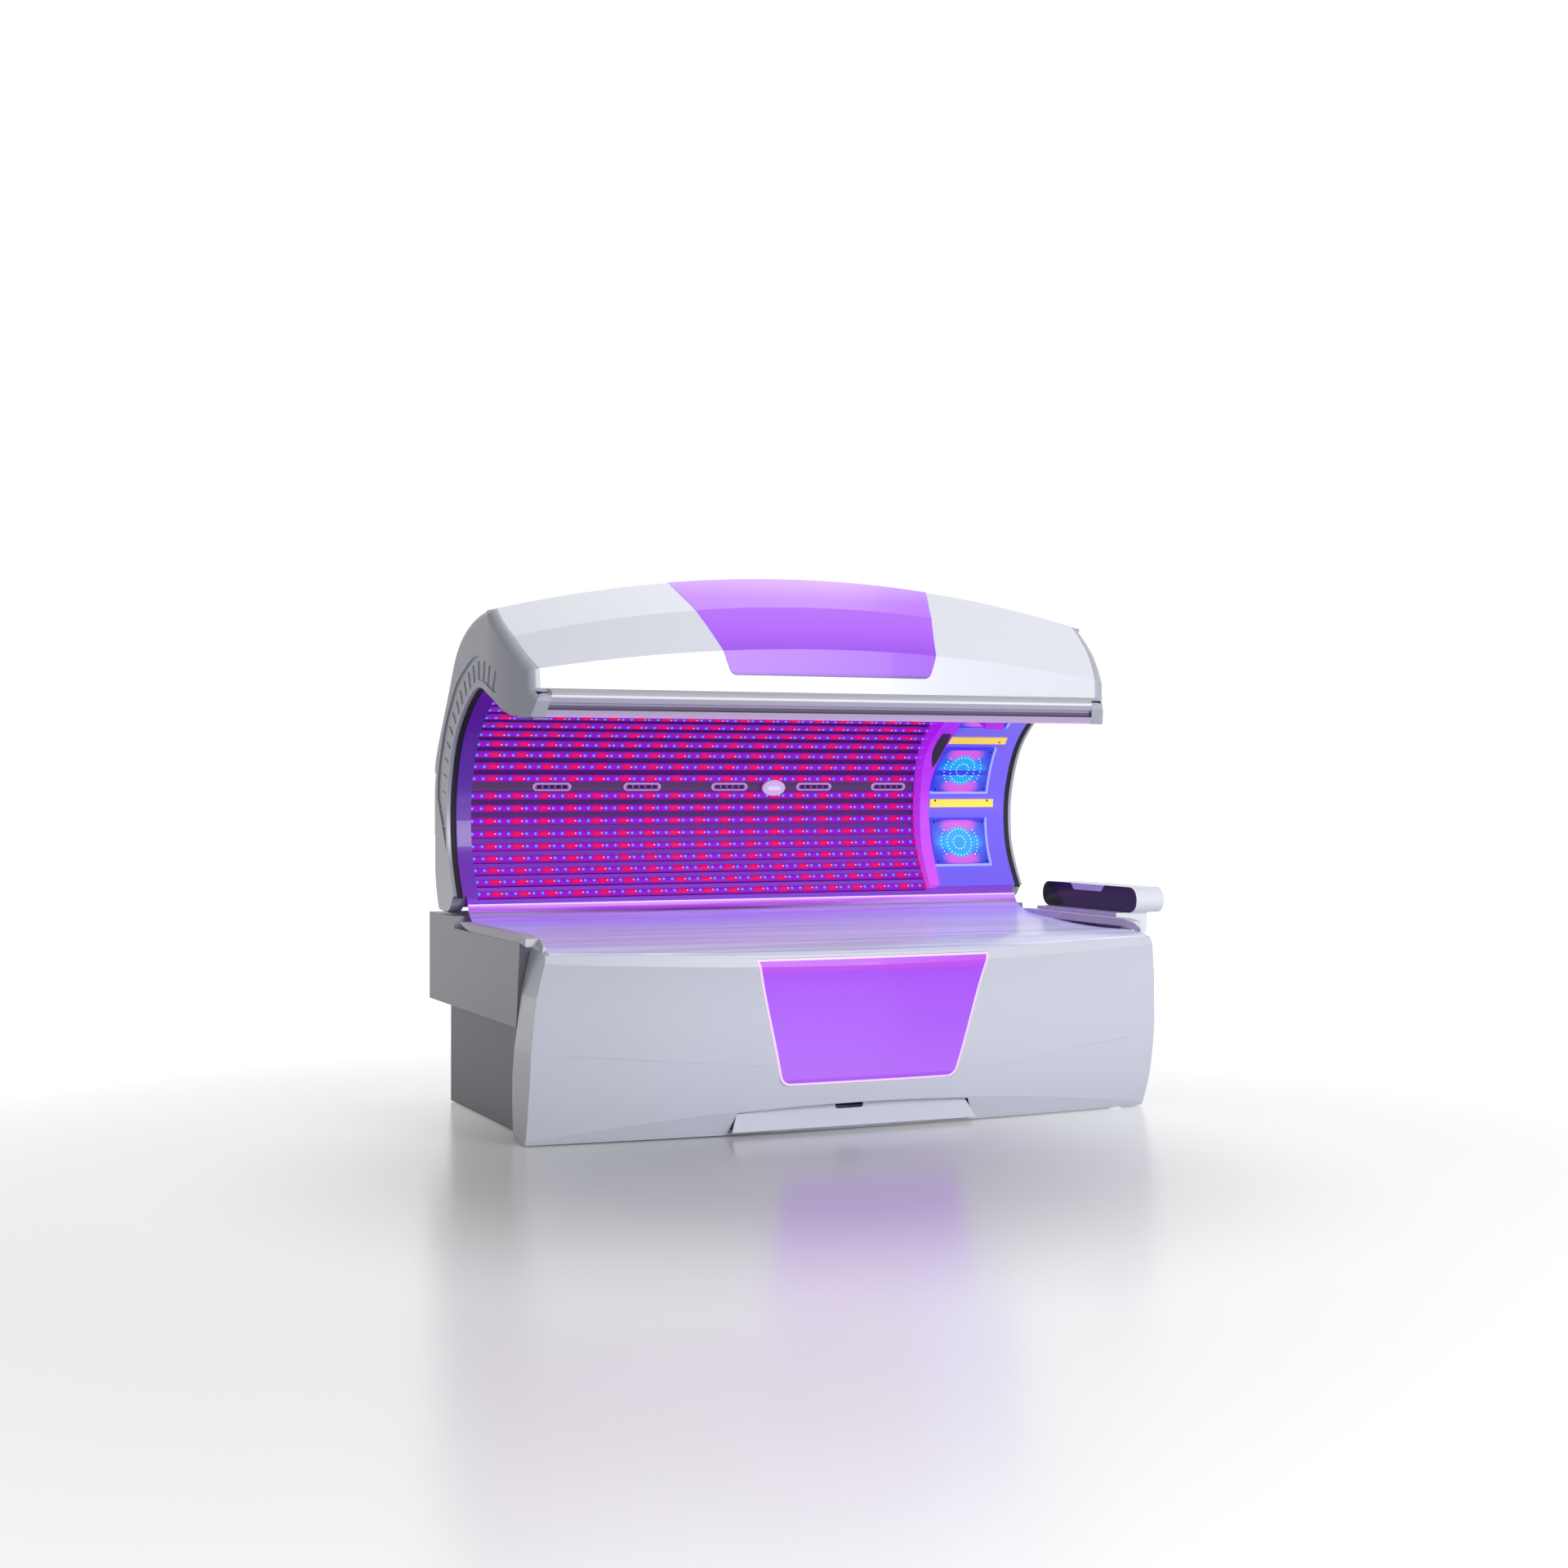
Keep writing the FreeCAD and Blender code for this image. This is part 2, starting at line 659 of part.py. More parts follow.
# ---------------------------------------------------------------------------- bench
def make_acrylic():
    """Dished clear sheet with a rear upstand, its front edge following the cover in plan."""
    sheet_body = band(bench_curve, -acrylic_wall, 0.0, -acrylic_half, acrylic_half)
    limit = cover_region(2.0)
    rear = box(-acrylic_half, acrylic_half, bench_curve[6][0], clear, 0.0, clear)
    return joined([sheet_body.common(limit), sheet_body.common(rear)])


def bench_height(y):
    """Height of the bench surface at Y."""
    for (y0, z0), (y1, z1) in zip(bench_curve, bench_curve[1:]):
        if y1 <= y <= y0:
            return z0 + (z1 - z0) * (y - y0) / (y1 - y0)
    return bench_curve[-1][1]


def make_bench_bars():
    """LED bars under the bench acrylic."""
    bars = []
    half = acrylic_half - holder_inset
    for index in range(bench_bars):
        y = bench_bar_first_y + index * bench_bar_pitch
        z = bench_height(y) - acrylic_wall - bench_bar_drop
        rise = bench_height(y + bar_width) - bench_height(y - bar_width)
        angle = math.degrees(math.atan2(rise, 2.0 * bar_width))
        bars.append(led_bar(-half, half, y, z, angle))
    return bars


def led_bar(x0, x1, y, z, angle):
    """LED bar along X: a flat base under a half-round lens, its back at (Y, Z)."""
    half = bar_width / 2.0
    foot = [V(x0, -half, 0), V(x0, half, 0), V(x0, half, bar_base), V(x0, -half, bar_base)]
    lens = Part.Arc(foot[2], V(x0, 0, bar_height), foot[3]).toShape()
    edges = [Part.LineSegment(foot[3], foot[0]).toShape(), Part.LineSegment(foot[0], foot[1]).toShape(),
             Part.LineSegment(foot[1], foot[2]).toShape(), lens]
    bar = Part.Face(Part.Wire(edges)).extrude(V(x1 - x0, 0, 0))
    bar.rotate(V(0, 0, 0), V(1, 0, 0), angle)
    bar.translate(V(0, y, z))
    return bar


def make_bench_reflector():
    """Curved reflector sheet that carries the bench bars."""
    path = reflector_path(acrylic_wall + bench_bar_drop + reflector_gap)
    return band(path, -sheet, 0.0, -acrylic_half + 20.0, acrylic_half - 20.0)


def reflector_path(drop):
    """Line through the bars' feet, drop below the bench's surface, from the rear to the front."""
    steps = [bench_bars - 0.5 - index for index in range(bench_bars + 1)]
    line = [bench_bar_first_y + step * bench_bar_pitch for step in steps]
    return [(y, bench_height(y) - drop) for y in line]


def make_bench_holders():
    """Moulded lamp-holder rails across both ends of the bench bars."""
    path = reflector_path(acrylic_wall + bench_bar_drop + reflector_gap - seat)
    inner = acrylic_half - holder_inset + seat
    rail = band(path, 0.0, bar_height + 6.0, inner, inner + holder_width)
    return [rail, mirrored(rail)]


def make_rims():
    """White side rims between the acrylic and the side boxes."""
    low = [(y, z - rim_height) for y, z in reversed(rim_top)]
    low[-1] = (low[-1][0], low[-1][1] + 6.0)
    inner = acrylic_half + seat
    rim = prism_x(rim_top + low, inner, inner + rim_width)
    rim = rim.cut(below_bench(acrylic_wall))
    return rim.common(cover_region(1.5).fuse(box(-bed_half, bed_half, 0.0, clear, 0.0, clear)))


# ---------------------------------------------------------------------------- base covers
def make_side_box():
    """Grey sheet-metal side box on the left: outer skin, bottom, rear and top returns."""
    front_top = box_front_y - 36.0
    low = rim_top[1][1] - rim_height - seat
    outline = [(box_front_y, box_bottom_z), (box_rear_y, box_bottom_z), (box_rear_y, box_top_z),
               (box_step_y, box_top_z), (box_step_y - 2.0, low), (front_top, low - 2.0)]
    body = prism_x(outline, -bed_half, -bed_half + box_width)
    cavity = prism_x(shifted_loop(outline, sheet), -bed_half + sheet, -bed_half + box_width + 1.0)
    return body.cut(cavity)


def make_plinth():
    """Recessed plinth sheets: two sides and the rear, with a cable inlet hole in the rear."""
    side_x = bed_half - plinth_inset_x
    side = box(side_x - sheet, side_x, plinth_front_y, plinth_rear_y, floor_gap, box_bottom_z - seat)
    rear = box(-side_x + sheet + seat, side_x - sheet - seat, plinth_rear_y - sheet, plinth_rear_y,
               floor_gap, box_bottom_z - seat)
    hole = Part.makeCylinder(gland_radius + seat, 20.0, V(gland_x, plinth_rear_y - 10.0, gland_z), V(0, 1, 0))
    return [mirrored(side), side, rear.cut(hole)]


def make_gland():
    """Mains inlet gland with its lock-nut, open through the middle."""
    body = Part.makeCylinder(gland_radius, gland_length, V(gland_x, plinth_rear_y - 14.0, gland_z), V(0, 1, 0))
    flange = Part.makeCylinder(gland_radius + 5.0, 6.0, V(gland_x, plinth_rear_y, gland_z), V(0, 1, 0))
    nut = Part.makeCylinder(gland_radius + 5.0, 5.0, V(gland_x, plinth_rear_y - sheet - 5.0, gland_z),
                            V(0, 1, 0))
    bore = Part.makeCylinder(gland_bore, gland_length + 2.0, V(gland_x, plinth_rear_y - 15.0, gland_z),
                             V(0, 1, 0))
    return joined([body, flange, nut]).cut(bore)


def make_rear_panel():
    """Rear sheet of the base with two fields of louvre slots and a bottom return."""
    half = bed_half - box_width - seat
    face = box(-half, half, box_rear_y - sheet, box_rear_y, box_bottom_z, box_top_z)
    bottom = box(-half, half, plinth_rear_y + seat, box_rear_y - sheet, box_bottom_z, box_bottom_z + sheet)
    panel = joined([face, bottom])
    slots = []
    first = (box_bottom_z + box_top_z - (louvre_count - 1) * louvre_pitch) / 2.0
    for centre in (-bed_half / 2.0, bed_half / 2.0):
        for index in range(louvre_count):
            z = first + index * louvre_pitch
            slots.append(box(centre - louvre_length / 2.0, centre + louvre_length / 2.0,
                             box_rear_y - 10.0, box_rear_y + 10.0,
                             z - louvre_height / 2.0, z + louvre_height / 2.0))
    return panel.cut(Part.makeCompound(slots))


def make_well():
    """Sheet floor of the hinge well, with slots for the gas springs and a front upstand."""
    half = bed_half - box_width - seat
    front = bench_curve[0][0] + acrylic_wall + 2.0
    floor = box(-half, half, front, box_rear_y - sheet - seat, well_floor_z, well_floor_z + sheet)
    lip = box(-half, half, front, front + sheet, well_floor_z, bench_curve[0][1] - 36.0)
    well = joined([floor, lip])
    for side in (-1.0, 1.0):
        x = side * spring_x
        well = well.cut(box(x - 18.0, x + 18.0, spring_foot_y + 30.0, hinge_y + 90.0,
                            well_floor_z - 10.0, well_floor_z + 10.0))
    for x in bracket_x:
        half_slot = bracket_wall / 2.0 + seam
        well = well.cut(box(x - half_slot, x + half_slot, hinge_y - bracket_radius - seam,
                            hinge_y + bracket_radius + seam, well_floor_z - 10.0, well_floor_z + 10.0))
    return well


# ---------------------------------------------------------------------------- base frame
def make_base_frame():
    """Welded square-tube frame: rings, posts, cross members, fan deck, bearings and carriers."""
    low, high = frame_bottom_z, frame_top_z
    half, front, rear = frame_half_x, frame_front_y, frame_rear_y
    across = [-half, half - tube] + [c - tube / 2.0 for c in cross_x]
    spans = []
    for z in (low, high):
        spans += [(-half, half, y, y + tube, z, z + tube) for y in (front, rear - tube)]
        spans += [(x, x + tube, front, rear, z, z + tube) for x in across]
    spans += [(x, x + tube, y, y + tube, low, high + tube) for x in across for y in (front, rear - tube)]
    bars = [box(*span) for span in spans]
    bores = [tube_bore(span, high + tube) for span in spans]
    deck_top = fan_z - fan_depth / 2.0 - seat
    deck = box(-half, half, front, fan_y + fan_radius + run_out, deck_top - deck_wall, deck_top)
    for x in fan_x:
        deck = deck.cut(rod_z(fan_radius - 6.0, deck_top - 20.0, deck_top + 10.0, x, fan_y))
    bars.append(deck)
    welded = joined(bars + make_carriers() + make_brackets() + make_spring_anchors() + make_tray_guides())
    return welded.cut(joined(bores))


def tube_bore(span, post_top):
    """Inside of a square tube; a post is open at its top."""
    x0, x1, y0, y1, z0, z1 = span
    open_top = 1.0 if z1 - z0 > tube else -tube_wall
    return box(x0 + tube_wall, x1 - tube_wall, y0 + tube_wall, y1 - tube_wall, z0 + tube_wall,
               min(z1, post_top) + open_top)


def make_carriers():
    """Arms and cradles that carry the covers, the bench and the hinge well on the frame."""
    half, rear, top = frame_half_x, frame_rear_y, frame_top_z + tube
    arms = []
    for y in arm_y:
        for side in (-1.0, 1.0):
            for reach, z in ((bed_half - sheet - seat, frame_top_z),
                             (bed_half - plinth_inset_x - sheet - seat, frame_bottom_z)):
                x0, x1 = sorted((side * (half - 5.0), side * reach))
                arms.append(box(x0, x1, y, y + tube, z, z + tube))
    for x in rear_arm_x:
        x0, x1 = x - tube / 2.0, x + tube / 2.0
        arms.append(box(x0, x1, rear - 5.0, plinth_rear_y - sheet - seat, frame_bottom_z,
                        frame_bottom_z + tube))
        arms.append(box(x0, x1, rear - 5.0, box_rear_y - sheet - seat, frame_top_z, top))
        arms.append(box(x0, x1, rear - tube, rear, frame_top_z, well_floor_z - seat))
    behind_cover = cover_region(cover_wall + seat)
    for x in cover_arm_x:
        arm = box(x - tube / 2.0, x + tube / 2.0, -clear, frame_front_y + 5.0, frame_top_z - 10.0,
                  frame_top_z + 20.0)
        arms.append(arm.common(behind_cover))
    board_back = cover_face[4][0] - cover_bulge + cover_wall + light_board_gap + light_board_wall + seat
    for x in board_arm_x:
        arms.append(box(x - tube / 2.0, x + tube / 2.0, board_back, frame_front_y + 5.0,
                        frame_top_z - tube, frame_top_z - 10.0))
        arms.append(box(x - tube / 2.0, x + tube / 2.0, frame_front_y, frame_front_y + tube,
                        frame_top_z - tube, frame_top_z))
    under = acrylic_wall + bench_bar_drop + reflector_gap + sheet + seat
    saddle = [(y, z) for y, z in reflector_path(under) if y > frame_front_y]
    last = saddle[0][0]
    saddle.append((frame_front_y, bench_height(frame_front_y) - under))
    outline = saddle + [(frame_front_y, top - 5.0), (last, top - 5.0)]
    for x in cross_x + [-half + 8.0, half - 8.0]:
        arms.append(prism_x(outline, x - cradle_wall / 2.0, x + cradle_wall / 2.0))
    return arms


def make_feet():
    feet = []
    for x in (-frame_half_x + tube / 2.0, 0.0, frame_half_x - tube / 2.0):
        for y in (frame_front_y + tube / 2.0, frame_rear_y - tube / 2.0):
            pad = rod_z(foot_radius, 0.0, foot_height, x, y)
            stem = rod_z(foot_stem_radius, foot_height, frame_bottom_z, x, y)
            feet.append(joined([pad, stem]))
    return feet


# ---------------------------------------------------------------------------- hinge
def make_brackets():
    """Four upright bearing plates on the frame's rear top bar."""
    plates = []
    top = frame_top_z + tube
    for x in bracket_x:
        x0, x1 = x - bracket_wall / 2.0, x + bracket_wall / 2.0
        plate = box(x0, x1, hinge_y - bracket_radius, hinge_y + bracket_radius, top - 2.0, hinge_z)
        heel = prism_x([(hinge_y, top - 2.0), (frame_rear_y - 2.0, top - 2.0), (frame_rear_y - 2.0, top + 10.0),
                        (hinge_y + bracket_radius - 1.0, top + 50.0), (hinge_y, top + 50.0)], x0, x1)
        toe = box(x0, x1, hinge_y - bracket_radius, frame_rear_y - 2.0, top - 12.0, top)
        head = rod_x(bracket_radius, x0, x1, hinge_y, hinge_z)
        bore = rod_x(shaft_radius + running_gap + bush_wall, x0 - 5.0, x1 + 5.0, hinge_y, hinge_z)
        plates.append(joined([plate, heel, toe, head]).cut(bore))
    return plates


def make_bushes():
    bushes = []
    for x in bracket_x:
        outer = rod_x(shaft_radius + running_gap + bush_wall, x - bracket_wall / 2.0 - 3.0,
                      x + bracket_wall / 2.0 + 3.0, hinge_y, hinge_z)
        bore = rod_x(shaft_radius + running_gap, x - 40.0, x + 40.0, hinge_y, hinge_z)
        bushes.append(outer.cut(bore))
    return bushes


# ---------------------------------------------------------------------------- canopy outlines
foot_arc = [(hinge_y + foot_arc_radius * math.cos(math.radians(a)),
             hinge_z + foot_arc_radius * math.sin(math.radians(a))) for a in (206.0, 228.0, 250.0)]


def end_outline():
    """Closed end profile of the canopy, anticlockwise, and its two smooth ranges."""
    front = [fold_upper, fold_lower, face_bottom] + lip_line
    upper = shell_curve[:-1] + [crest]
    points = foot_arc + rear_curve + upper + front + opening_curve[:0:-1]
    rear_first = len(foot_arc) + 2
    upper_first = len(foot_arc) + len(rear_curve)
    opening_first = upper_first + len(upper) + len(front)
    smooth = [(rear_first, upper_first - 1), (upper_first, upper_first + len(upper) - 1),
              (opening_first, len(points) - 1)]
    return points, smooth


def canopy_section(x, inset):
    """Closed (Y, Z) outline of the crowned canopy at X, moved inwards by inset."""
    bow = plan_bow(x)
    upper = []
    for y, z in shell_curve[:-1] + [crest]:
        share = min(1.0, (shell_curve[0][0] - y) / (shell_curve[0][0] - crest[0]) * 1.25)
        upper.append((y, z + crown * bow * math.sin(share * math.pi / 2.0)))
    folds = [(fold_upper[0], fold_upper[1] + fold_upper_crown * bow),
             (fold_lower[0], fold_lower[1] + fold_lower_crown * bow), face_bottom]
    skirt = [(face_bottom[0] - run_out, face_bottom[1] - run_out), (face_bottom[0] - run_out, 0.0),
             (shell_curve[0][0], 0.0)]
    points = shifted_loop(upper + folds + skirt, inset)
    return loop_wire(x, points, [(0, len(upper) - 1)])


def canopy_region(inset):
    """Everything inside the crowned outer surface of the canopy."""
    reach = bed_half + loft_margin
    return Part.makeLoft([canopy_section(x, inset) for x in (-reach, 0.0, reach)], True, False)


def canopy_plan(inset):
    """Tall block inside the canopy's plan outline, whose front corners turn in on an arc."""
    half = bed_half - inset
    front_y = plan_front_y

    def turned(y):
        return corner_radius - math.sqrt(corner_radius ** 2 - (corner_start_y - y) ** 2)

    middle_y = (corner_start_y + front_y) / 2.0
    start, middle = (half, corner_start_y), (half - turned(middle_y), middle_y)
    end = (half - turned(front_y), front_y)
    ring = []
    for side in (1.0, -1.0):
        a, b, c = (V(side * px, py, 0.0) for px, py in (start, middle, end))
        ring.append(Part.Arc(a, b, c).toShape())
        ring.append(Part.LineSegment(V(side * half, clear, 0.0), a).toShape())
    ring.append(Part.LineSegment(V(half, clear, 0.0), V(-half, clear, 0.0)).toShape())
    ring.append(Part.LineSegment(V(end[0], front_y, 0.0), V(-end[0], front_y, 0.0)).toShape())
    wire = Part.Wire(Part.__sortEdges__(ring))
    return Part.Face(wire).extrude(V(0, 0, clear))


def canopy_panel_prism(grow):
    """Outline of the lit canopy panel as a block along Y, wrapping over the crest."""
    right = [(x + grow, z) for x, z in canopy_panel_edge]
    right[0] = (right[0][0], right[0][1] - grow)
    front = face_bottom[0] - run_out
    right_points = [V(x, front, z) for x, z in right]
    left_points = [V(-x, front, z) for x, z in reversed(right)]
    edges = [spline(right_points).toShape(), Part.LineSegment(right_points[-1], left_points[0]).toShape(),
             spline(left_points).toShape(), Part.LineSegment(left_points[-1], right_points[0]).toShape()]
    block = Part.Face(Part.Wire(edges)).extrude(V(0, canopy_panel_rear_y + grow - front, 0))
    low = [edge for edge in block.Edges if all(vertex.Z < canopy_panel_edge[0][1] + 1.0
                                               for vertex in edge.Vertexes)
           and abs(edge.Vertexes[0].X - edge.Vertexes[-1].X) < 1e-6]
    return block.makeFillet(front_panel_corner, low)


# ---------------------------------------------------------------------------- canopy covers
def below_shell():
    """Everything under the shell's lower edges, at the rear and at the front."""
    reach = bed_half + 2.0 * loft_margin
    rear = box(-reach, reach, 0.0, clear, 0.0, shell_curve[0][1])
    return rear.fuse(box(-reach, reach, 0.0, crest[0], 0.0, face_bottom[1]))


def make_canopy_shell():
    """Crowned outer shell with two folds along its front and the opening of the lit panel."""
    shell = canopy_region(0.0).cut(canopy_region(shell_wall)).cut(below_shell())
    return shell.common(canopy_plan(cap_border)).cut(canopy_panel_prism(seam))


def make_canopy_panel():
    skin = canopy_region(-panel_proud).cut(canopy_region(panel_wall - panel_proud))
    return skin.common(canopy_panel_prism(0.0))


def make_canopy_light_board():
    """Light board behind the lit canopy panel, on risers of the middle ribs."""
    (near_y, near_z), (far_y, far_z) = canopy_board
    half = rib_mid_x + rib_wall
    drop = light_board_wall
    board = prism_x([(near_y, near_z), (far_y, far_z), (far_y + drop, far_z - drop),
                     (near_y + drop, near_z - drop)], -half, half)
    behind = canopy_region(panel_wall - panel_proud + seat)
    posts = []
    slope = (near_z - far_z) / (near_y - far_y)
    for y in (far_y + 20.0, near_y - 20.0):
        z = far_z + (y - far_y) * slope
        for x in (-light_post_x, light_post_x):
            post = box(x - light_post, x + light_post, y - light_post, y + light_post, z - 9.0, clear)
            posts.append(post.common(behind))
    above = prism_x([(near_y, near_z), (far_y, far_z), (far_y - run_out, far_z), (far_y - run_out, clear),
                     (near_y + run_out, clear), (near_y + run_out, near_z)], -half, half)
    return joined([board] + [post.common(above) for post in posts])


def make_rear_cover():
    """Lower rear sheet of the canopy between the end caps."""
    half = bed_half - end_cap_width - seat
    back = band(rear_curve[2:], -rear_wall, 0.0, -half, half)
    top = shell_curve[0][1] + 1.0
    flange = box(-half, half, rear_curve[-1][0] - rear_wall, shell_curve[0][0], top, top + rear_wall)
    flange = flange.common(canopy_region(shell_wall + seat))
    web = box(-half, half, rear_curve[-1][0] - rear_wall, rear_curve[-1][0], top - 2.0, top + 1.0)
    return joined([back, web, flange])


def rounded_end():
    """Inside of the canopy's outer surface, its left end rounded over."""
    block = canopy_region(0.0).common(canopy_plan(0.0))
    rims = [edge for edge in block.Edges if edge.BoundBox.XMax < cap_reach - bed_half
            and edge.BoundBox.ZMin > shell_curve[0][1] - 5.0]
    return block.makeFillet(cap_shoulder, rims)


def cap_border_ring():
    """Rounded border that closes the shell's left end, with a flange under the shell."""
    deep = canopy_region(cap_flange)
    border = rounded_end().cut(canopy_plan(cap_border - cap_seam)).cut(deep)
    flange = canopy_region(shell_wall + cap_seam).cut(deep)
    flange = flange.common(canopy_plan(cap_border - 2.0)).cut(canopy_plan(end_cap_width))
    left = box(-clear, 0.0, 0.0, clear, 0.0, clear)
    return [shape.common(left).cut(below_shell()) for shape in (border, flange)]


def cap_lip():
    """Front of the left cap below the shell, flush with the lip rail."""
    points, smooth = end_outline()
    face = Part.Face(loop_wire(-bed_half - seam, points, smooth)).extrude(V(cap_reach, 0, 0))
    zone = box(-clear, 0.0, plan_front_y, opening_curve[-2][0], opening_curve[-4][1] - run_out, face_bottom[1])
    return face.common(zone).common(canopy_plan(0.0)).cut(canopy_plan(end_cap_width))


def make_end_cap():
    """Left end cap: hollow C-shaped moulding with a recessed field of raised ribs."""
    points, smooth = end_outline()
    wide = bed_half + seam
    outer = Part.Face(loop_wire(-wide, shifted_loop(points, shell_wall + seat), smooth))
    outer = outer.extrude(V(cap_reach, 0, 0))
    block = outer.common(canopy_plan(0.0)).cut(canopy_plan(end_cap_width))
    hollow = Part.Face(loop_wire(-wide, shifted_loop(points, shell_wall + seat + end_cap_wall), smooth))
    hollow = hollow.extrude(V(cap_reach, 0, 0))
    hollow = hollow.common(canopy_plan(crease_step + end_cap_wall)).cut(canopy_plan(end_cap_width + 2.0))
    lining_bed = band(opening_curve, -gasket_height, liner_face + liner_wall + seat, -clear, 0.0)
    lining_bed = lining_bed.common(canopy_plan(cap_return))
    tip_bed = box(-clear, 0.0, lining_tip[0], clear, 0.0, lining_tip[1]).common(canopy_plan(cap_return))
    limit = rounded_end()
    tray = block.cut(hollow).cut(lining_bed).common(limit)
    lip = cap_lip().cut(hollow).cut(tip_bed).common(limit)
    cap = joined([tray, lip] + cap_border_ring())
    field_inner = shifted_path(opening_curve[3:-4], rim_band)
    ring = [V(-wide, y, z) for y, z in field_inner]
    crease = [V(-wide, y, z) for y, z in crease_curve]
    edges = [spline(ring).toShape(), Part.LineSegment(ring[-1], crease[-1]).toShape(),
             spline(crease[::-1]).toShape(), Part.LineSegment(crease[0], ring[0]).toShape()]
    field = Part.Face(Part.Wire(edges)).extrude(V(cap_reach, 0, 0))
    cap = cap.cut(field.cut(canopy_plan(crease_step)))
    return cap.fuse(Part.makeCompound(make_cap_ribs(field)))


def make_cap_ribs(field):
    """Raised ribs across the recessed field, square to the opening line."""
    path = shifted_path(opening_curve[3:-4], rim_band)
    curve = spline([V(0, y, z) for y, z in path])
    length = curve.length()
    ribs = []
    for index in range(rib_count):
        at = curve.parameterAtDistance(length * (index + 0.7) / (rib_count + 0.2))
        point = curve.value(at)
        along = curve.tangent(at)[0]
        angle = math.degrees(math.atan2(along.z, along.y))
        rib = box(-bed_half, -bed_half + cap_border, -rib_width / 2.0, rib_width / 2.0,
                  -rib_length - 2.0, -3.0)
        rib.rotate(V(0, 0, 0), V(1, 0, 0), angle)
        rib.translate(V(0, point.y, point.z))
        ribs.append(rib)
    proud = canopy_plan(crease_step - rib_height).cut(canopy_plan(crease_step + 1.0))
    return [solid for rib in ribs for solid in rib.common(field).common(proud).Solids]


def make_lip_rail():
    plan = canopy_plan(end_cap_width + seat)
    return prism_x(lip_rail_profile, -bed_half, bed_half).common(plan)


def make_lip_strip():
    plan = canopy_plan(end_cap_width + seat)
    return prism_x(lip_strip_profile, -bed_half, bed_half).common(plan)


def behind_lip():
    """Space of the lip rail and strip and everything in front of it, for what ends behind them."""
    rail_top, rail_low = lip_rail_profile[-1], lip_rail_profile[-2]
    strip = lip_strip_profile
    front_y = plan_front_y
    outline = [(front_y, rail_top[1] + seat), (rail_top[0] + seat, rail_top[1] + seat)]
    outline += [(rail_low[0] + seat, rail_low[1]), (strip[5][0] + seat, strip[5][1])]
    outline += [(strip[4][0] + seat, strip[4][1] + seat),
                (strip[3][0] + seat, strip[3][1] + seat), (strip[2][0] + seat, strip[2][1] - 20.0),
                (front_y, strip[2][1] - 20.0)]
    return prism_x(outline, -bed_half, bed_half)


# ---------------------------------------------------------------------------- canopy lining
lining_curve = spline([V(0, y, z) for y, z in shifted_path(opening_curve, liner_face)])
lining_length = lining_curve.length()
bar_area_end = -bed_half + holder_inset


def on_lining(distance):
    """Point, direction and inward normal of the lining at a distance along it from the foot."""
    at = lining_curve.parameterAtDistance(distance)
    point = lining_curve.value(at)
    along = lining_curve.tangent(at)[0]
    return point, along, V(0, -along.z, along.y)


def lining_at_height(z):
    """Distance along the rear of the lining at which it reaches height z."""
    low, high = 0.0, lining_length * 0.72
    for _ in range(40):
        middle = (low + high) / 2.0
        if on_lining(middle)[0].z < z:
            low = middle
        else:
            high = middle
    return low


def on_wall(shape, x, distance, lift):
    """Put a piece drawn flat (X along, Y up the wall, Z inwards) on the lining."""
    point, along, normal = on_lining(distance)
    placement = FreeCAD.Placement(V(x, point.y, point.z) + normal * lift,
                                  FreeCAD.Rotation(V(1, 0, 0), along, normal, "ZXY"))
    moved = shape.copy()
    moved.Placement = placement.multiply(shape.Placement)
    return moved


def patch(first, last, x0, x1, low, high):
    """A block curved with the lining, between two distances along it and two heights above it."""
    near, far = [], []
    steps = max(3, int((last - first) / 20.0))
    for index in range(steps + 1):
        point, _, normal = on_lining(first + (last - first) * index / steps)
        near.append(V(x0, point.y, point.z) + normal * low)
        far.append(V(x0, point.y, point.z) + normal * high)
    edges = [spline(near).toShape(), Part.LineSegment(near[-1], far[-1]).toShape(),
             spline(far[::-1]).toShape(), Part.LineSegment(far[0], near[0]).toShape()]
    return Part.Face(Part.Wire(edges)).extrude(V(x1 - x0, 0, 0))


def bar_distances():
    """Distances along the lining of all the LED bars, below and above the air channel."""
    lower = [first_bar_s + index * bar_pitch for index in range(lower_bars)]
    start = lower[-1] + channel_gap
    upper = []
    while start + bar_pitch * 0.6 < lining_length - 60.0:
        upper.append(start)
        start += bar_pitch
    return lower, upper


def channel_distance():
    lower, _ = bar_distances()
    return lower[-1] + channel_gap / 2.0


def fin_edge(edge, z):
    """X of one of the fin's edges at height z, straight between its points."""
    for (x0, z0), (x1, z1) in zip(edge, edge[1:]):
        if z0 <= z <= z1:
            return x0 + (x1 - x0) * (z - z0) / (z1 - z0)
    return edge[-1][0]


def make_canopy_bars(distances):
    bars = []
    for distance in distances:
        point = on_lining(distance)[0]
        turn = max(0.0, corner_start_y - point.y + bar_width)
        inset = corner_radius - math.sqrt(corner_radius ** 2 - turn ** 2)
        bar = led_bar(bar_area_end + inset, fin_edge(fin_left, point.z) - fin_gap, 0.0, 0.0, 0.0)
        bars.append(on_wall(bar, 0.0, distance, bar_lift))
    return bars


def nozzle_slot(x, grow):
    """Block through the lining in which one air nozzle turns."""
    length = nozzle_length / 2.0 + 4.0 + grow
    height = nozzle_radius + 1.5 + grow
    return on_wall(box(-length, length, -height, height, -40.0, 40.0), x, channel_distance(), 0.0)


